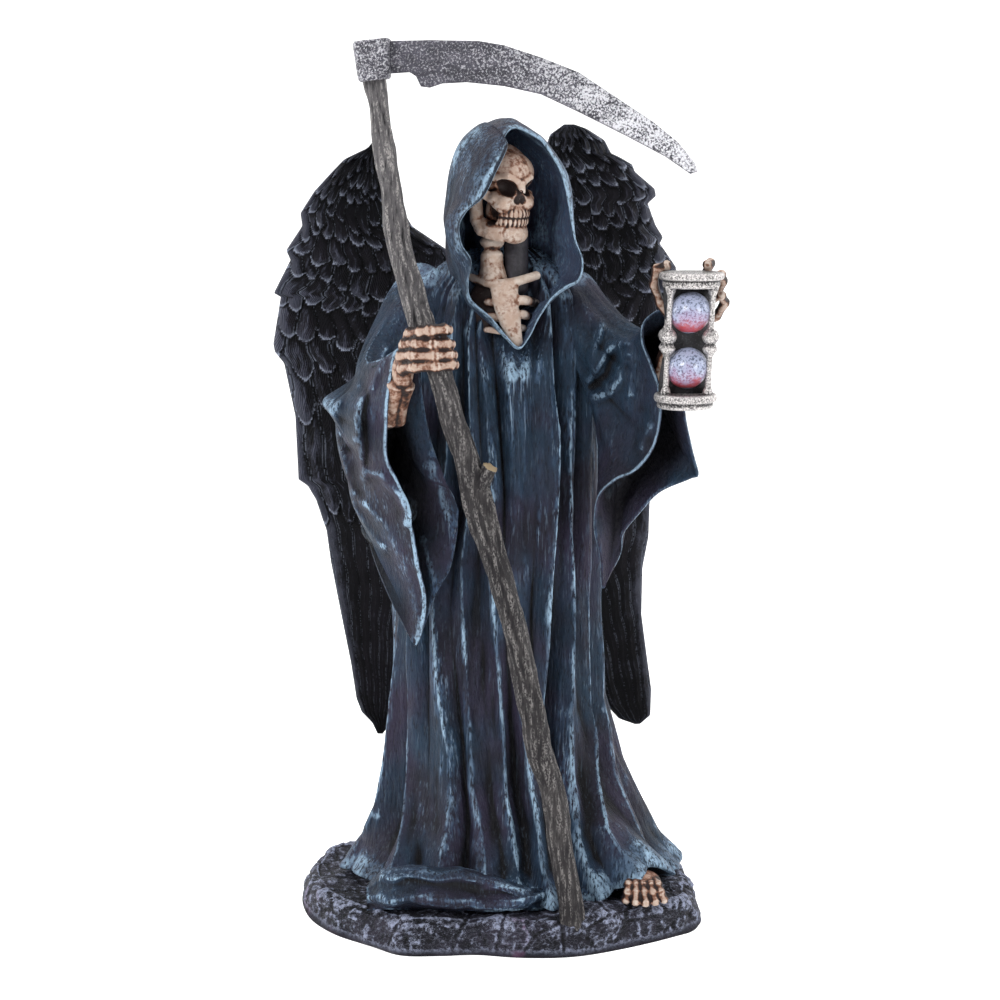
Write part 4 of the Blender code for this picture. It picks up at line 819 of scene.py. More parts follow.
PLEATS = 9
# Shoulder and elbow ovals (centre, up and side vectors), mouth, drawn folds, waists of the outline.
RIGHT_SLEEVE = (((-25, 1, 212), (2, -5, 14), (-11, 8, 5)), ((-63, -15, 171), (3, -9, 12), (-14, 3, -3)),
                RIGHT_MOUTH, RIGHT_SLEEVE_FOLDS, SLEEVE_OUTLINE)
LEFT_SLEEVE = (((26, -1, 212), (1, -3, 12), (-8, -9, 0)), ((47, -12, 180), (1, -3, 13), (-11, -6, 0)),
               LEFT_MOUTH, LEFT_SLEEVE_FOLDS, [])


def drawn_folds(points, lines):
    """How far the cloth stands out along lines of (x, z) points, each with its rise and its width."""
    spots = points[..., [0, 2]]
    rise = np.zeros(spots.shape[:-1])
    for line, height, width in lines:
        nearest = np.full(rise.shape, 1e9)
        for start, finish in zip(line[:-1], line[1:]):
            run = np.subtract(finish, start)
            share = np.clip(((spots - start) @ run) / (run @ run), 0.0, 1.0)
            gap = np.linalg.norm(spots - start - share[..., None] * run, axis=-1)
            nearest = np.minimum(nearest, gap)
        rise = rise + height * np.exp(-(nearest / width) ** 2)
    return rise


def oval(centre, up, side, count):
    turn = turns(count)[:, None]
    return np.asarray(centre) + np.cos(turn) * np.asarray(up) + np.sin(turn) * np.asarray(side)


def sleeve_surface(shoulder, elbow, mouth, lines, outline, seed, sides=220, rows=84):
    start = oval(*shoulder, sides)
    middle = oval(*elbow, sides)
    end = closed_curve(mouth, sides)
    turn = turns(sides)

    def surface(share):
        ring = (1 - share) ** 2 * start + 2 * share * (1 - share) * middle + share ** 2 * end
        outer_side = smooth(2.0, 11.0, ring[:, 0].mean() - ring[:, 0]) * smooth(0.0, 0.30, 1.0 - share)
        for height, width, inward in outline:
            ring[:, 0] += inward * outer_side * np.exp(-((ring[:, 2] - height) / width) ** 2)
        out = unit(ring - ring.mean(axis=0))
        wave = np.abs(np.cos(0.5 * PLEATS * turn + 1.6 * share)) - 0.5
        fade = math.sin(math.pi * min(share, 0.93)) * 1.7
        folded = np.stack([turn * 14.0 + 4 * share, turn * 0, np.full(sides, share * 60.0)], axis=1)
        crease = 0.7 * grain(folded, (4.5, 4.5, 26.0), seed) + 0.3 * grain(folded, (2.0, 2.0, 14.0), seed + 1)
        crease = crease * smooth(0.0, 0.15, 1.0 - share) * smooth(0.0, 0.15, share)
        return ring + out * (wave * fade + crease)[:, None]

    outer = np.array([surface(share) for share in np.linspace(0.0, 1.0, rows)])
    outer[..., 1] -= drawn_folds(outer, lines)
    lengthways = np.gradient(outer, axis=0)
    around = np.roll(outer, -1, axis=1) - np.roll(outer, 1, axis=1)
    normal = unit(np.cross(around, lengthways))
    outward = unit(outer - outer.mean(axis=1, keepdims=True))
    normal = normal * np.sign((normal * outward).sum())
    onward = unit(lengthways[-1]) * 0.3
    thin = 0.45 + 0.55 * smooth(0.0, 0.14, 1.0 - np.linspace(0.0, 1.0, rows))
    lip = [outer[-1] - normal[-1] * CLOTH_WALL * thin[-1] * depth + onward * out
           for depth, out in ((0.2, 0.8), (0.5, 1.0), (0.8, 0.8))]
    inner = outer - normal * (CLOTH_WALL * thin)[:, None, None]
    first = rows // 2
    hidden = rows - 1 - first
    # Painted shade: the inner surface darkens toward near black away from the mouth.
    depth = np.append(np.zeros(rows + len(lip)), smooth(0.0, 0.22, np.linspace(0.0, 0.5, hidden)) * 0.9)
    turned_edge = [0.2, 0.8, 0.7, -0.2, -0.7, -0.8, -0.6, -0.3]
    rim = np.concatenate([np.zeros(rows - 2), turned_edge, np.zeros(hidden - 3)])
    return skin([*outer, *lip, *inner[:first:-1]]), row_marks(sides, depth, rim)


# The left sleeve's 0.6 dims its brushed colours as painted shade, for that sleeve lies in shadow.
for name, shape, seed, lit_brush_level in (("sleeve_right", RIGHT_SLEEVE, 61, 1.0),
                                ("sleeve_left", LEFT_SLEEVE, 71, 0.6)):
    sleeve_form, (sleeve_inner_shade, sleeve_rim) = sleeve_surface(*shape, seed)
    sleeve = piece_from(name, [sleeve_form])
    spots = points_of(sleeve) / MM
    # Points above 221 mm and left of 27.5 mm lie under the hood and take its lighter inner-wall blue.
    sleeve_inner_shade = sleeve_inner_shade - 1.5 * smooth(30.0, 27.5, spots[:, 0]) * smooth(218.0, 221.0, spots[:, 2])
    note(sleeve, "inside", sleeve_inner_shade)
    note(sleeve, "rim", sleeve_rim)
    note_wear(sleeve)
    cloth_paint(sleeve, "painted_" + name, (1.0, 1.0, 0.3), lit_brush_level)
    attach(sleeve, "root")

# ---------------------------------------------------------------- hands and foot
# Skeleton hands, the right one round the staff and the left one holding the hourglass from behind,
# and the bones of one foot on the rock. Each joint is thicker than its bone. All are of the
# figure's casting, ivory with a brown wash and painted shade between the fingers.


def bones(points, radius, sides=14):
    girth = radius * np.array([1.1, 1.0, 0.92, 0.88, 0.92, 1.0, 1.1])
    points = np.asarray(points, float)
    return [tube(np.linspace(start, finish, len(girth)), girth, sides)
            for start, finish in zip(points[:-1], points[1:])]


RIGHT_KNUCKLES = [(-29.0, 207.0), (-30.6, 203.6), (-31.8, 199.8), (-31.4, 195.8)]
RIGHT_TIPS = [(-17.6, 208.8), (-16.8, 204.2), (-16.1, 200.7), (-15.7, 197.6)]
LEFT_FINGERS = [
    [(56, -37.5, 210), (52, -38, 216), (49.6, -40.5, 222.4), (50.2, -43.8, 227.4), (53.6, -47, 228.8)],
    [(60, -37, 210), (63, -37.5, 218), (66, -38.6, 224.4), (67.8, -41.6, 229.2), (66.4, -46, 228.8)],
    [(62, -37, 210), (66, -38, 214), (70, -40.5, 218.6), (71.6, -44.4, 223.6), (70.6, -47.6, 226)],
    [(60, -37, 207), (65, -38, 208.8), (70, -41, 212), (72.2, -46, 216.8), (70.6, -49.5, 219.4)]]
TOE_TIPS = [(42.6, -40.4), (45.8, -42.4), (49.2, -43.2), (52.6, -42.2), (55.8, -39.8)]


def right_hand_forms():
    forms = bones([(-37.0, -37.5, 177), (-33.6, -43.5, 190)], 3.0, 20)
    forms += bones([(-34.0, -35.5, 177), (-30.4, -43, 190)], 2.7, 20)
    forms.append(ball((-31.4, -45, 194.5), (3.6, 3.8, 5.8)))
    for (x, z), (tip_x, tip_z) in zip(RIGHT_KNUCKLES, RIGHT_TIPS):
        forms += bones([(-31.6, -45.0, 0.4 * z + 114.5), (x, -48.6, z)], 1.9)
        forms += bones([(x, -48.6, z), (x + 4.2, -53.6, 0.7 * z + 0.3 * tip_z + 0.5),
                        (tip_x - 4.6, -55.4, 0.3 * z + 0.7 * tip_z + 0.3), (tip_x, -53.0, tip_z)], 2.05)
        forms += bones([(tip_x, -53.0, tip_z), (tip_x + 1.0, -49.0, tip_z - 0.6)], 1.65)
    forms += bones([(-31, -43, 200), (-29.6, -41.2, 204), (-25.5, -40.4, 207.0), (-20.4, -41.4, 207.8)], 1.7)
    return forms


def left_hand_forms():
    forms = bones([(47, -23, 180), (57, -36.5, 206)], 2.5, 20)
    forms += bones([(50, -21, 181), (60.5, -36, 206)], 2.2, 20)
    forms.append(ball((59, -37.5, 209.5), (4.6, 2.6, 3.6)))
    for finger in LEFT_FINGERS:
        forms += bones(finger, 1.6)
    return forms


def gap_mark(piece, axis):
    """Marks the sides of fingers or toes facing their neighbours, where wash and painted shade gather."""
    normal = np.empty(len(piece.data.vertices) * 3)
    piece.data.vertices.foreach_get("normal", normal)
    note(piece, "hollow_wash_and_shade", smooth(0.40, 0.95, np.abs(normal.reshape(-1, 3)[:, axis])) * 0.95)


def foot_forms():
    forms = [ball((48.4, -32, 17.6), (6.8, 7.0, 3.9), 20, 28)]
    for index, (x, y) in enumerate(TOE_TIPS):
        root = 44.5 + 1.8 * index
        forms += bones([(root, -33, 19.2), (0.5 * (x + root), -37.6, 18.6),
                        (0.3 * root + 0.7 * x, -40.0, 16.6), (x, y, 13.8)], 1.5)
    return forms


for name, forms, axis in (("hand_right", right_hand_forms(), 2), ("hand_left", left_hand_forms(), 0),
                          ("foot", foot_forms(), 0)):
    limb = piece_from(name, forms)
    melt(limb, 0.38, 1)
    gap_mark(limb, axis)
    note_wear(limb, 3, 18)
    # The hands and foot take more of the brown wash and painted shade than the skull.
    bone_paint(limb, "painted_" + name, 0.20 if name == "foot" else 0.17)
    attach(limb, "root")

# ---------------------------------------------------------------- wings
# Two folded wings, cast apart and plugged into the back: rows of short rounded feathers at the
# top, longer ones below, then the long flight feathers. Black, dry-brushed grey on their edges,
# with painted shade between the feathers and painted highlight along each wing's outer edge.
# The outlines are points (z, x) from the top down, and ROW_ENDS says how far down each row ends.
WING_ROOT_Y = 27.2
WING_THICKNESS = 5.0
WING_RELIEF = 1.7
RIGHT_WING_OUTER = [
    (267, -45), (265.3, -46.5), (261.5, -54.6), (257.2, -58.9), (250.2, -65.5), (242.5, -70.6),
    (238.1, -70), (229.5, -75.8), (226, -74.4), (214.4, -80.4), (213, -78), (196.4, -80.9),
    (193.5, -80.4), (189.2, -77.2), (170.3, -73.5), (147.2, -72.7), (145, -69.4), (139.9, -66.4),
    (128.6, -62.8), (117.4, -61.4), (102.3, -58.7), (79.6, -54.5), (66.2, -52.6), (61.1, -50.7),
    (57, -46.8), (53, -45)]
RIGHT_WING_INNER = [
    (267, -43), (258, -40.5), (248, -37), (238, -31), (230, -19), (222, -14), (190, -13.5), (165, -19),
    (130, -24), (100, -29), (75, -34), (64, -36.5), (60, -38.5), (54.5, -42), (53, -43)]
LEFT_WING_OUTER = [
    (273.5, 26), (272, 30.5), (268, 36.8), (263.5, 39.2), (262, 42.5), (259.5, 46.8), (257, 47.8),
    (251, 55), (248.4, 55.6), (245.8, 52.6), (238, 55.6), (233.8, 58.3), (231.5, 57.2), (226.2, 61),
    (223, 63.2), (200, 65), (175, 62), (150, 56), (137, 54.6), (125, 54.3), (113.5, 52.2), (96, 52),
    (83, 53.8), (67.5, 56), (57.5, 55.8), (54.5, 52)]
LEFT_WING_INNER = [
    (273.5, 22.5), (270, 17.5), (258, 13.5), (245, 12.5), (225, 11), (190, 12), (165, 16), (130, 20),
    (100, 27), (75, 35), (63, 38.8), (57, 44), (54.5, 50)]
ROW_ENDS = [7, 14, 21, 28.5, 36, 44, 52, 61, 71, 82, 98, 132, 400]
SMALL_ROWS = 9


def odd(number, row, seed):
    """A value from 0 to 1 that differs from feather to feather."""
    return (np.sin(number * 12.9898 + row * 78.233 + seed * 37.719) * 43758.5453) % 1.0


def feathers(across, down, width):
    """Height of the feathers, and each point's place across its feather and before its tip."""
    lift = np.zeros_like(down)
    found = np.zeros(down.shape, bool)
    before = np.full(down.shape, -8.0)
    side_place = np.zeros_like(down)
    length_place = np.zeros_like(down)
    for row, end in enumerate(ROW_ENDS):
        small = row < SMALL_ROWS
        count = np.round(max(2.0, width / (6.6 if small else 8.2)))
        wander = 0.30 * np.sin(down * 0.13 + row * 2.1) + 0.16 * np.sin(down * 0.37 + across * 9.0 + row)
        raw = across * count + 0.5 * (row % 2) + wander * (1.0 if small else 0.5)
        number = np.floor(raw)
        place = 2.0 * (raw - number) - 1.0
        ragged = (odd(number, row, 1) - 0.5) * (5.5 if small else 9.0)
        tip = end + ragged + (3.4 if small else 7.0) * (np.sqrt(np.clip(1.0 - place ** 2, 0.0, 1.0)) - 0.6)
        here = (down < tip) & ~found
        share = np.clip((down - before) / np.maximum(tip - before, 1.0), 0.0, 1.0)
        barrel = 1.0 - 0.8 * place ** 2 + 0.18 * np.exp(-(place / 0.10) ** 2)
        proud = 0.6 + 0.7 * odd(number, row, 2)
        lift = np.where(here, (0.2 + 0.8 * np.minimum(share * 1.3, 1.0)) * barrel * proud, lift)
        side_place = np.where(here, place, side_place)
        length_place = np.where(here, tip - down, length_place)
        found |= here
        before = np.where(found, before, tip)
    return lift, side_place, length_place


def wing_surface(outer, inner, sweep, rows, columns):
    top = max(outer[0][0], inner[0][0])
    low = outer[-1][0]
    heights = np.linspace(top, low, rows)
    z_out, x_out = np.array(outer[::-1]).T
    z_in, x_in = np.array(inner[::-1]).T
    share = np.linspace(0.0, 1.0, columns)
    start = np.interp(heights, z_in, x_in)[:, None]
    finish = np.interp(heights, z_out, x_out)[:, None]
    x = start + (finish - start) * share
    z = np.repeat(heights[:, None], columns, axis=1)
    width = float(np.abs(finish - start).max())
    y = sweep(np.abs(x), z)
    down = (top - z) + 0.0045 * (np.abs(x) - 40.0) ** 2
    across = np.repeat(share[None, :], rows, axis=0)
    lift, side_place, length_place = feathers(across, down, width)
    lift = WING_RELIEF * lift + 0.12 * grain(np.stack([x, y, z], axis=2), (1.2, 1.2, 3.0), 81)
    rim = np.clip(1.0 - np.abs(2 * share - 1.0) ** 6, 0.0, 1.0)[None, :] ** 0.5
    ends = np.clip((z[:, :1] - low) / 10.0, 0.0, 1.0) * np.clip((top - z[:, :1]) / 4.0, 0, 1)
    body = WING_THICKNESS * (0.45 + 0.55 * smooth(90, 230, z))
    half = 0.5 * (0.8 + (body - 0.8) * rim * ends ** 0.5)
    relief = lift * (0.35 + 0.65 * rim) * (0.3 + 0.7 * ends)
    front = np.stack([x, y - half - relief, z], axis=2)
    back = np.stack([x, y + half + relief, z], axis=2)
    rings = np.concatenate([front, back[:, ::-1]], axis=1)
    # The third mark, near the outer edge, carries the painted highlight along that edge.
    marks = [np.append(np.concatenate([field, field[:, ::-1]], axis=1).ravel(), [0.0, 0.0])
             for field in (side_place, length_place, smooth(0.74, 1.0, across))]
    return rings, marks


def right_sweep(x, z):
    """How far back the middle of the wing lies, at a distance from the spine and a height."""
    return WING_ROOT_Y + 0.075 * (x - 15.0) - 1.5 * smooth(235, 265, z) - 1.5 * smooth(70, 85, x)


def left_sweep(x, z):
    return WING_ROOT_Y + 0.26 * (x - 12.0) - 1.5 * smooth(240, 270, z)


def feather_paint(piece, name):
    paint = Paint(name)
    edge, fold, rise = paint.marks("edge", "fold", "rise")
    side = paint.mark("across").sum('ABSOLUTE')
    length = paint.mark("to_tip")
    barbs = (side * 34.0 - length * 1.4).sum('SINE') * 0.5 + 0.5
    flecks = paint.noise(1500, 3.0, 0.6)
    patches = paint.noise(110, 3.0, 0.6)
    # Painted highlight: the outer edge of each wing is brushed brighter, as where light catches it.
    outer = paint.mark("outer")
    brush = (edge * 3.5 + fold * 0.8 + rise * 0.3 + (flecks - 0.5) * 0.9 + (patches - 0.5) * 1.6
             + outer * 0.6).between(0.15, 0.95)
    rim = (side.between(0.7, 0.98) * 0.5 + length.between(1.8, 0.3)).clipped()
    paint.ground(paint.noise(50).between(0.4, 0.65), (0.003, 0.003, 0.005), (0.009, 0.008, 0.012))
    # Painted shade: the hollows between the feathers go near black.
    paint.coat((fold + rise * 0.4).between(0.1, -0.7), (0.002, 0.002, 0.003))
    paint.coat((brush * (0.25 + barbs * 0.75) * 0.8).clipped(), (0.095, 0.102, 0.145))
    rubbed = (rim * (flecks + patches + outer * 0.2 - 0.5).between(0.40, 0.62) * 0.9).clipped()
    paint.coat(rubbed, (0.30, 0.335, 0.43))
    relief = paint.bump(barbs, 0.00030, paint.bump(flecks, 0.0003))
    paint.finish(piece, 0.40 + flecks * 0.3, relief, Specular_IOR_Level=0.16)


for name, outer, inner, sweep in (("wing_right", RIGHT_WING_OUTER, RIGHT_WING_INNER, right_sweep),
                                  ("wing_left", LEFT_WING_OUTER, LEFT_WING_INNER, left_sweep)):
    rings, marks = wing_surface(outer, inner, sweep, 330, 90)
    wing = piece_from(name + "_feathers", [skin(rings)])
    for mark, values in zip(("across", "to_tip", "outer"), marks):
        note(wing, mark, values)
    note_wear(wing)
    feather_paint(wing, "painted_" + name)
    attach(wing, "root")
    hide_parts(name)

# ---------------------------------------------------------------- scythe staff
# A crooked branch with bark grain and one twig cut off short, cast in resin and glued in the fist.
# Grey-brown wood paint, rubbed pale on the grain; the cut end of the twig is bare and light.
STAFF_RADIUS = 3.6
STAFF_FOOT_Z = 8.0
STAFF_TOP_Z = 294.0
STAFF_PATH = [
    (24.2, -50, STAFF_FOOT_Z), (23.5, -50, 16), (20.6, -50, 35.7), (17.2, -50, 55), (13.7, -50, 66.7),
    (11.4, -50, 79.2), (8.1, -50, 94.7), (4.7, -50, 110.1), (0.6, -50, 125.5), (-6.8, -50, 149.9),
    (-11.5, -50, 168.2), (-14.5, -49.8, 177.3), (-18.3, -49, 190.9), (-25.7, -46, 211),
    (-28.4, -45, 222.7), (-32.4, -44.4, 235.7), (-34.6, -44.2, 251.2), (-37.1, -44, 267),
    (-39.9, -44, 287.9), (-40.5, -44, STAFF_TOP_Z)]
STAFF_GIRTH = [
    1.1, 1.05, 1.12, 1.06, 1.16, 1.04, 1.1, 1.06, 1.05, 1.3, 1.14, 1.06, 1.08, 1.2, 1.12, 1.06, 0.98,
    0.94, 0.88, 0.85]
TWIG = [(-8.0, -50, 155.0), (-5.6, -51.5, 160.0), (-3.2, -52.6, 164.5)]
STAFF_SIDES = 50
TWIG_SIDES = 40


def branch(path, radii, sides, rows, seed):
    """A tube with bark: ridges and lumps that run along it."""
    points, faces = tube(path, radii, sides, rows=rows, tail=0.05)
    rings = points[:-2].reshape(rows + 2, sides, 3)
    centre = rings.mean(axis=1, keepdims=True)
    turn = turns(sides)
    along = np.repeat(rings[:, :1, 2], sides, axis=1)
    spot = np.stack([np.cos(turn)[None, :] * STAFF_RADIUS + along * 0,
                     np.sin(turn)[None, :] * STAFF_RADIUS + along * 0, along], axis=2)
    rough = 0.65 * grain(spot, (1.4, 1.4, 11.0), seed) + 0.35 * grain(spot, (0.8, 0.8, 5.0), seed + 1)
    rough = rough + 0.45 * grain(spot, (4.0, 4.0, 9.0), seed + 2)
    rings = rings + unit(rings - centre) * rough[:, :, None]
    return np.vstack([rings.reshape(-1, 3), points[-2:]]), faces


staff = piece_from("staff_bark", [
    branch(STAFF_PATH, STAFF_RADIUS * np.array(STAFF_GIRTH), STAFF_SIDES, 460, 91),
    branch(TWIG, [3.0, 2.7, 2.6], TWIG_SIDES, 40, 95)])
cut_mark = np.zeros(len(staff.data.vertices))
cut_mark[-2 * TWIG_SIDES - 2:] = 1.0
note(staff, "cut", cut_mark)
note_wear(staff, 2, 10)

paint = Paint("painted_staff")
edge, fold = paint.marks("edge", "fold")
streaks = paint.noise(1100, 5.0, 0.68, (1.0, 1.0, 0.12))
flecks = paint.noise(2200, 3.0, 0.6, (1.0, 1.0, 0.5))
rubbed = (fold * 1.2 + edge * 4.0 + (streaks - 0.5) * 3.2).between(0.0, 0.75)
paint.ground(paint.noise(120).between(0.35, 0.7), (0.016, 0.014, 0.016), (0.040, 0.036, 0.037))
upper = paint.axis("Z").between(0.15, 0.27)
paint.coat(upper * 0.7, (0.135, 0.128, 0.134))
# Painted shade: the grooves of the bark are darkened.
paint.coat((fold + (streaks - 0.5) * 2.2).between(0.0, -0.42), (0.006, 0.005, 0.007))
pale = (rubbed * flecks.between(0.42, 0.56)).clipped() * (0.5 + upper * 0.5)
paint.coat(pale, (0.36, 0.34, 0.33))
paint.coat(paint.mark("cut").between(0.4, 0.9), (0.42, 0.32, 0.20))
relief = paint.bump(streaks, 0.0010, paint.bump(flecks, 0.0006))
paint.finish(staff, 0.55 + streaks * 0.2, relief, Specular_IOR_Level=0.25)
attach(staff, "root")
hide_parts("scythe_staff")

# ---------------------------------------------------------------- scythe head
# A curved blade with a heel and a ground bevel, cast in one with the square socket on the staff.
# Gunmetal paint, heavily rubbed with silver that gets denser toward the point.
BLADE_Y = -44.0
BLADE_BACK = 3.0
BLADE_EDGE = 0.9
BLADE_STATIONS = 300
BLADE_TOP = [
    (-40, 298.6), (-34.8, 299.1), (-22.2, 299.4), (-6.6, 299.1), (1.3, 297.8), (13.1, 294), (24.9, 289.4),
    (36.7, 281.7), (48.7, 273.9), (56.6, 267.6), (62, 261.2), (63, 258.3)]
BLADE_LOW = [
    (-40, 289.2), (-34.9, 289), (-28.6, 289.4), (-26.6, 288.2), (-25.1, 285), (-22.3, 284.6),
    (-18.3, 285.9), (-10.5, 286.3), (1.3, 285.1), (13.1, 282.5), (25, 277), (40.8, 269.2), (52.7, 263),
    (60.7, 257.6)]
# Across, height, half width and half depth of the socket's sections.
SOCKET_RINGS = [
    (-39.6, 286.9, 4.5, 5.2), (-39.7, 287.4, 5, 5.7), (-39.9, 289, 5.3, 6), (-40.2, 293, 5.5, 6.1),
    (-40.4, 297, 5.8, 6.3), (-40.5, 298.8, 5.8, 6.2), (-40.6, 299.4, 5.4, 5.9)]


def blade_surface():
    backs = np.array(BLADE_TOP).T
    edges = np.array(BLADE_LOW).T
    back_at = np.interp(backs[0], [backs[0][0], backs[0][-1]], [0, 1])
    edge_at = [0.0, 0.05, 0.11, 0.13, 0.15, 0.18, 0.22, 0.29, 0.4, 0.51, 0.63, 0.79, 0.92, 1.0]
    rings = []
    for stop in np.linspace(0.0, 1.0, BLADE_STATIONS):
        top = np.array([np.interp(stop, back_at, values) for values in backs])
        low = np.array([np.interp(stop, edge_at, values) for values in edges])
        thick = BLADE_BACK * (1.0 - 0.55 * stop)
        ledge = 0.42 + 0.22 * smooth(0.15, 0.4, stop)
        shape = [(1.0, 0.30), (0.985, 0.46), (0.95, 0.5), (0.8, 0.5), (0.65, 0.5), (0.55, 0.5),
                 (ledge, 0.5), (ledge - 0.03, 0.42), (ledge - 0.15, 0.36), (0.2, 0.28), (0.08, 0.2),
                 (0.0, 0.5 * BLADE_EDGE / thick)]
        shape = sorted(shape, key=lambda spot: -spot[0])
        front = [(top * share + low * (1 - share), -half * thick) for share, half in shape]
        back = [(top * share + low * (1 - share), half * thick) for share, half in reversed(shape)]
        rings.append([(spot[0], BLADE_Y + y, spot[1]) for spot, y in front + back])
    rings = np.array(rings)
    rings[:, :, 1] += 0.16 * grain(rings, (3.0, 30.0, 2.2), 101) + 0.10 * grain(rings, (1.2, 30.0, 1.1), 102)
    return skin(rings)


def socket_surface(sides=96):
    turn = turns(sides)
    source = np.array(SOCKET_RINGS)
    rings = []
    for place in np.linspace(0, len(source) - 1, 46):
        x, z, wide, hollow_wash_and_shade = (np.interp(place, range(len(source)), source[:, k]) for k in range(4))
        bulge_x, bulge_y = (np.sign(wave) * np.abs(wave) ** 0.45 * half
                            for wave, half in ((np.cos(turn), wide), (np.sin(turn), hollow_wash_and_shade)))
        ring = np.stack([x + bulge_x, BLADE_Y + bulge_y, z + 0.11 * bulge_x], axis=1)
        dent = 0.16 * grain(ring, 1.6, 103) + 0.2 * grain(ring, 3.4, 104)
        rings.append(ring + unit(ring - ring.mean(axis=0)) * dent[:, None])
    return skin(rings)


blade = piece_from("blade_and_socket", [blade_surface(), socket_surface()])
rim = np.zeros((BLADE_STATIONS, 24))
rim[:, [0, 11, 12, 23]] = 1.0  # the corners of each section
rest = len(blade.data.vertices) - rim.size
note(blade, "rim", np.append(rim.ravel(), np.zeros(rest)))
note(blade, "socket", np.append(np.zeros(rim.size), np.ones(rest)))
note_wear(blade, 2, 10)

paint = Paint("painted_blade")
edge = paint.mark("edge")
pits = paint.noise(1500, 5.0, 0.72)
patches = paint.noise(300, 4.0, 0.6, (0.5, 1.0, 1.0))
reach = paint.axis("X").between(-0.030, 0.060)
worn = (paint.mark("socket") * 0.03 + reach * 0.10 + (patches - 0.5) * (reach * 0.2 + 0.10)
        + edge * 0.10 - 0.045)
rubbed = ((pits + worn).between(0.47, 0.585) * (1.0 - paint.mark("rim") * 0.9)).clipped()
paint.ground(patches.between(0.3, 0.7), (0.022, 0.021, 0.031), (0.060, 0.057, 0.078))
paint.coat(rubbed * (0.42 + reach * 0.53 + paint.mark("socket") * 0.25), (0.74, 0.74, 0.78))
relief = paint.bump(pits, 0.0004, paint.bump(patches, 0.0006))
paint.finish(blade, 0.52 - rubbed * 0.14, relief, 0.2 + rubbed * 0.4)
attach(blade, "root")
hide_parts("scythe_blade")

# ---------------------------------------------------------------- hourglass
# An ornamental hourglass cast in one and glued to the fingers: stepped discs, four beaded posts
# and a dark web around the two bulbs. Antique silver over black; the bulbs are pearl white
# shading to pink and red below.
GLASS_CENTRE = (60.3, -50.0)
GLASS_RADIUS = 10.4
GLASS_BOTTOM = 183.2
GLASS_TOP = 226.8
GLASS_MIDDLE = 205.0
BULB_RADIUS = 6.6
BULB_HEIGHTS = (196.2, 214.0)
GLASS_LEAN = (0.04, 0.0, 0.0)
POST = [
    (1.9, 187.6), (1.5, 189.4), (1, 190.4), (0.95, 196), (0.95, 199.8), (1.3, 200.8), (2.1, 201.6),
    (2.5, 202.6), (1.9, 203.6), (1.6, 204.2), (2.3, 205), (2.8, 206.4), (2.3, 207.8), (1.3, 208.8),
    (0.95, 209.8), (0.95, 214), (1, 219.4), (1.5, 220.6), (1.9, 222.2)]


def turned(profile, centre, sides=96):
    turn = turns(sides)
    rings = [np.stack([centre[0] + radius * np.cos(turn), centre[1] + radius * np.sin(turn),
                       np.full(sides, height)], axis=1) for radius, height in profile]
    return skin(rings)


def leaned(form):
    points, faces = form
    return points + np.outer(points[:, 2] - GLASS_MIDDLE, GLASS_LEAN), faces


def rounded_disc(radius, low, high, centre):
    edge = (high - low) * 0.3
    profile = [(radius - edge, low), (radius - 0.3 * edge, low + 0.3 * edge), (radius, low + edge),
               (radius, high - edge), (radius - 0.3 * edge, high - 0.3 * edge), (radius - edge, high)]
    below = [(share * (radius - edge), low) for share in (0.3, 0.7, 0.95)]
    above = [(share * (radius - edge), high) for share in (0.95, 0.7, 0.3)]
    return turned(below + profile + above, centre)


silver_forms = [rounded_disc(GLASS_RADIUS, GLASS_TOP - 2.4, GLASS_TOP, GLASS_CENTRE),
                rounded_disc(GLASS_RADIUS - 1.2, GLASS_TOP - 5.0, GLASS_TOP - 2.2, GLASS_CENTRE),
                rounded_disc(GLASS_RADIUS - 0.3, GLASS_BOTTOM + 2.2, GLASS_BOTTOM + 4.8, GLASS_CENTRE),
                rounded_disc(GLASS_RADIUS - 1.4, GLASS_BOTTOM, GLASS_BOTTOM + 2.4, GLASS_CENTRE)]
for angle in (35, 145, 215, 325):
    x = GLASS_CENTRE[0] + 8.2 * math.cos(math.radians(angle))
    y = GLASS_CENTRE[1] + 6.2 * math.sin(math.radians(angle))
    silver_forms.append(turned(POST, (x, y), 32))
silver = piece_from("hourglass_frame", [leaned(form) for form in silver_forms])
melt(silver, 0.34, 1)
note_wear(silver, 3, 16)

paint = Paint("antique_silver")
edge, fold = paint.marks("edge", "fold")
pits = paint.noise(1800, 4.0, 0.65)
rubbed = (edge * 6.0 + fold * 1.8 + pits.between(0.40, 0.62) * 0.9 - 0.12).clipped()
paint.ground(rubbed, (0.010, 0.009, 0.010), (0.66, 0.63, 0.62))
relief = paint.bump(pits, 0.0003)
paint.finish(silver, 0.46 - rubbed * 0.12, relief, 0.25 + rubbed * 0.55)
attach(silver, "root")
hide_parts("hourglass")

web_profile = [(8.6, GLASS_BOTTOM + 4.0), (8.4, 193.0), (7.8, 198.6), (6.2, 202.8), (5.6, 205.1),
               (6.2, 207.4), (7.6, 211.6), (8.4, 217.2), (8.6, GLASS_TOP - 4.0)]
web_points, web_faces = turned(web_profile, GLASS_CENTRE)
web_points[:, 1] = GLASS_CENTRE[1] + 3.4 + 0.5 * (web_points[:, 1] - GLASS_CENTRE[1])
web = piece_from("hourglass_web", [leaned((web_points, web_faces))])
paint = Paint("dark_web")
pits = paint.noise(1500, 4.0, 0.6)
paint.ground(pits.between(0.5, 0.75), (0.012, 0.012, 0.014), (0.07, 0.07, 0.08))
paint.finish(web, 0.5 + pits * 0.2, paint.bump(pits, 0.0003))
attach(web, "root")

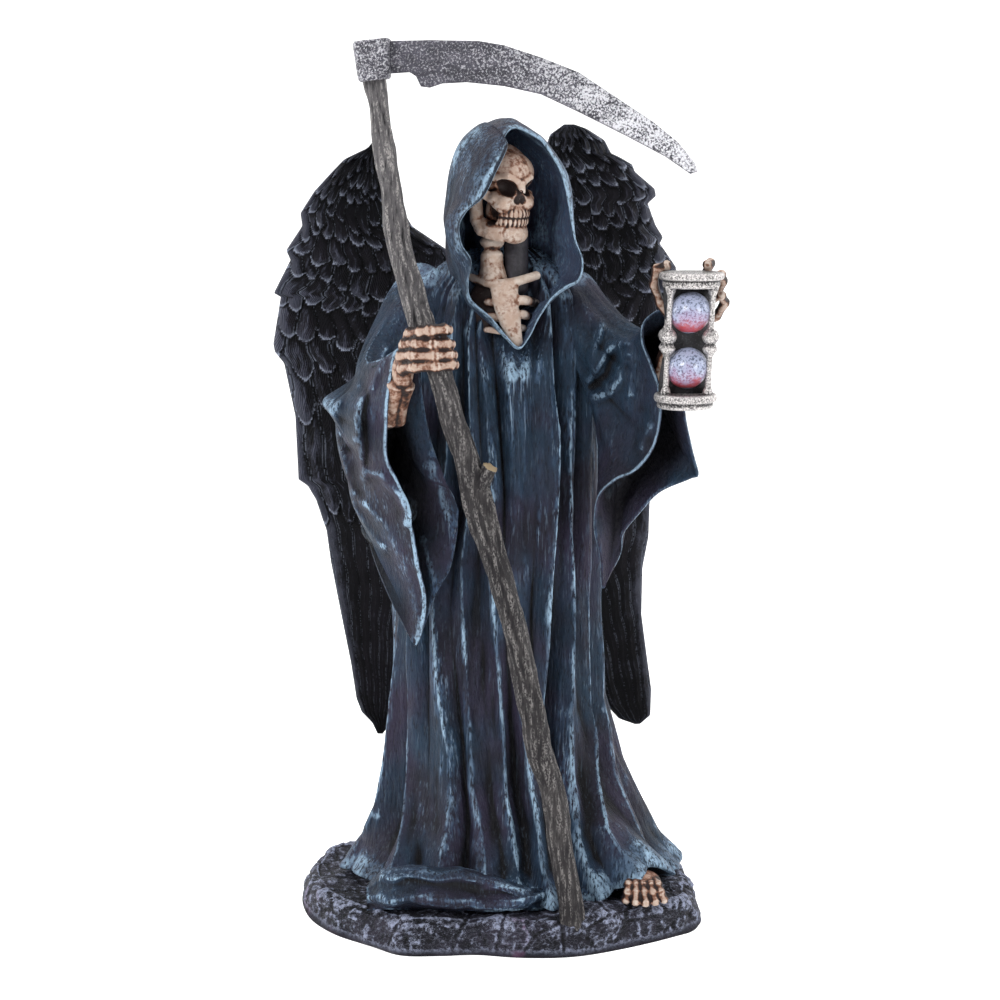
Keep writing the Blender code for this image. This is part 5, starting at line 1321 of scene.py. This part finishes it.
bulb_x, bulb_y = GLASS_CENTRE[0], GLASS_CENTRE[1] - 1.2
bulbs = piece_from("hourglass_bulbs", [
    leaned(ball((bulb_x, bulb_y, height), BULB_RADIUS, 40, 60)) for height in BULB_HEIGHTS])
paint = Paint("pearl_bulbs")
level = (((paint.axis("Z") - 0.1901) / 0.0178).sum('FRACT') * 1.45).clipped()
flecks = paint.noise(1300, 4.0, 0.65)
soft = paint.noise(240)
paint.ground(flecks.between(0.49, 0.60) * 0.85, (0.37, 0.41, 0.56), (0.035, 0.045, 0.09))
pink = (0.62 - level + (soft - 0.5) * 0.9 + (flecks - 0.5) * 0.5).between(0.0, 0.45)
paint.coat(pink * 0.55, (0.25, 0.085, 0.19))
red = (0.34 - level + (soft - 0.5) * 0.6 + (flecks - 0.5) * 0.4).between(0.0, 0.3)
paint.coat(red * 0.9, (0.36, 0.03, 0.035))
paint.finish(bulbs, 0.28, paint.bump(flecks, 0.00012), Coat_Weight=0.4)
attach(bulbs, "root")

# ---------------------------------------------------------------- studio
# A pale floor that turns up into a white backdrop, under five soft lights. The camera, fitted to
# the photograph, stands in front of the figure and looks slightly down.
LIGHTS = [("key", (-0.55, -0.85, 0.75), 0.45, 9.0), ("fill", (0.75, -0.75, 0.45), 0.5, 5.0),
          ("top", (0.05, 0.1, 1.1), 0.6, 6.0), ("left rim", (-0.8, 0.25, 0.4), 0.4, 4.0),
          ("right rim", (0.8, 0.3, 0.45), 0.4, 4.0)]
LIGHT_TARGET = Vector((0.0, 0.0, 0.16))
CAMERA_PLACE = (0.0, -0.75, 0.27)
CAMERA_PITCH = math.radians(90.0 - 9.476)
sweep_profile = [(-0.7, 0.0), (0.9, 0.0)]
sweep_profile += [(0.9 + 0.7 * math.sin(math.radians(turn)), 0.7 - 0.7 * math.cos(math.radians(turn)))
                  for turn in range(6, 91, 6)]
sweep_profile.append((1.6, 3.0))
floor_mesh = bpy.data.meshes.new("floor")
floor_mesh.from_pydata(
    [(x, y, z) for y, z in sweep_profile for x in (-2.2, 2.2)], [],
    [(row, row + 1, row + 3, row + 2) for row in range(0, 2 * len(sweep_profile) - 2, 2)])
floor_mesh.shade_smooth()
floor = bpy.data.objects.new("floor", floor_mesh)
bpy.context.scene.collection.objects.link(floor)
paint = Paint("white_backdrop")
paint.colour = (0.9, 0.9, 0.9)
paint.finish(floor, 0.9, Emission_Color=(1.0, 1.0, 1.0, 1.0), Emission_Strength=0.55, Specular_IOR_Level=0.0)

for name, place, size, power in LIGHTS:
    lamp = bpy.data.lights.new(name, 'AREA')
    lamp.shape = 'DISK'
    lamp.size = size
    lamp.energy = power
    light = bpy.data.objects.new(name, lamp)
    light.location = place
    light.rotation_euler = (LIGHT_TARGET - light.location).to_track_quat('-Z', 'Y').to_euler()
    bpy.context.scene.collection.objects.link(light)

world = bpy.data.worlds.new("studio")
world.use_nodes = True
background = world.node_tree.nodes["Background"]
background.inputs["Color"].default_value = (1.0, 1.0, 1.0, 1.0)
background.inputs["Strength"].default_value = 0.2
bpy.context.scene.world = world
bpy.context.scene.view_settings.view_transform = 'Standard'

lens = bpy.data.cameras.new("camera")
lens.lens = 78.835
lens.sensor_width = 36.0
camera = bpy.data.objects.new("camera", lens)
camera.location = CAMERA_PLACE
camera.rotation_euler = (CAMERA_PITCH, 0.0, 0.0)
bpy.context.scene.collection.objects.link(camera)
bpy.context.scene.camera = camera
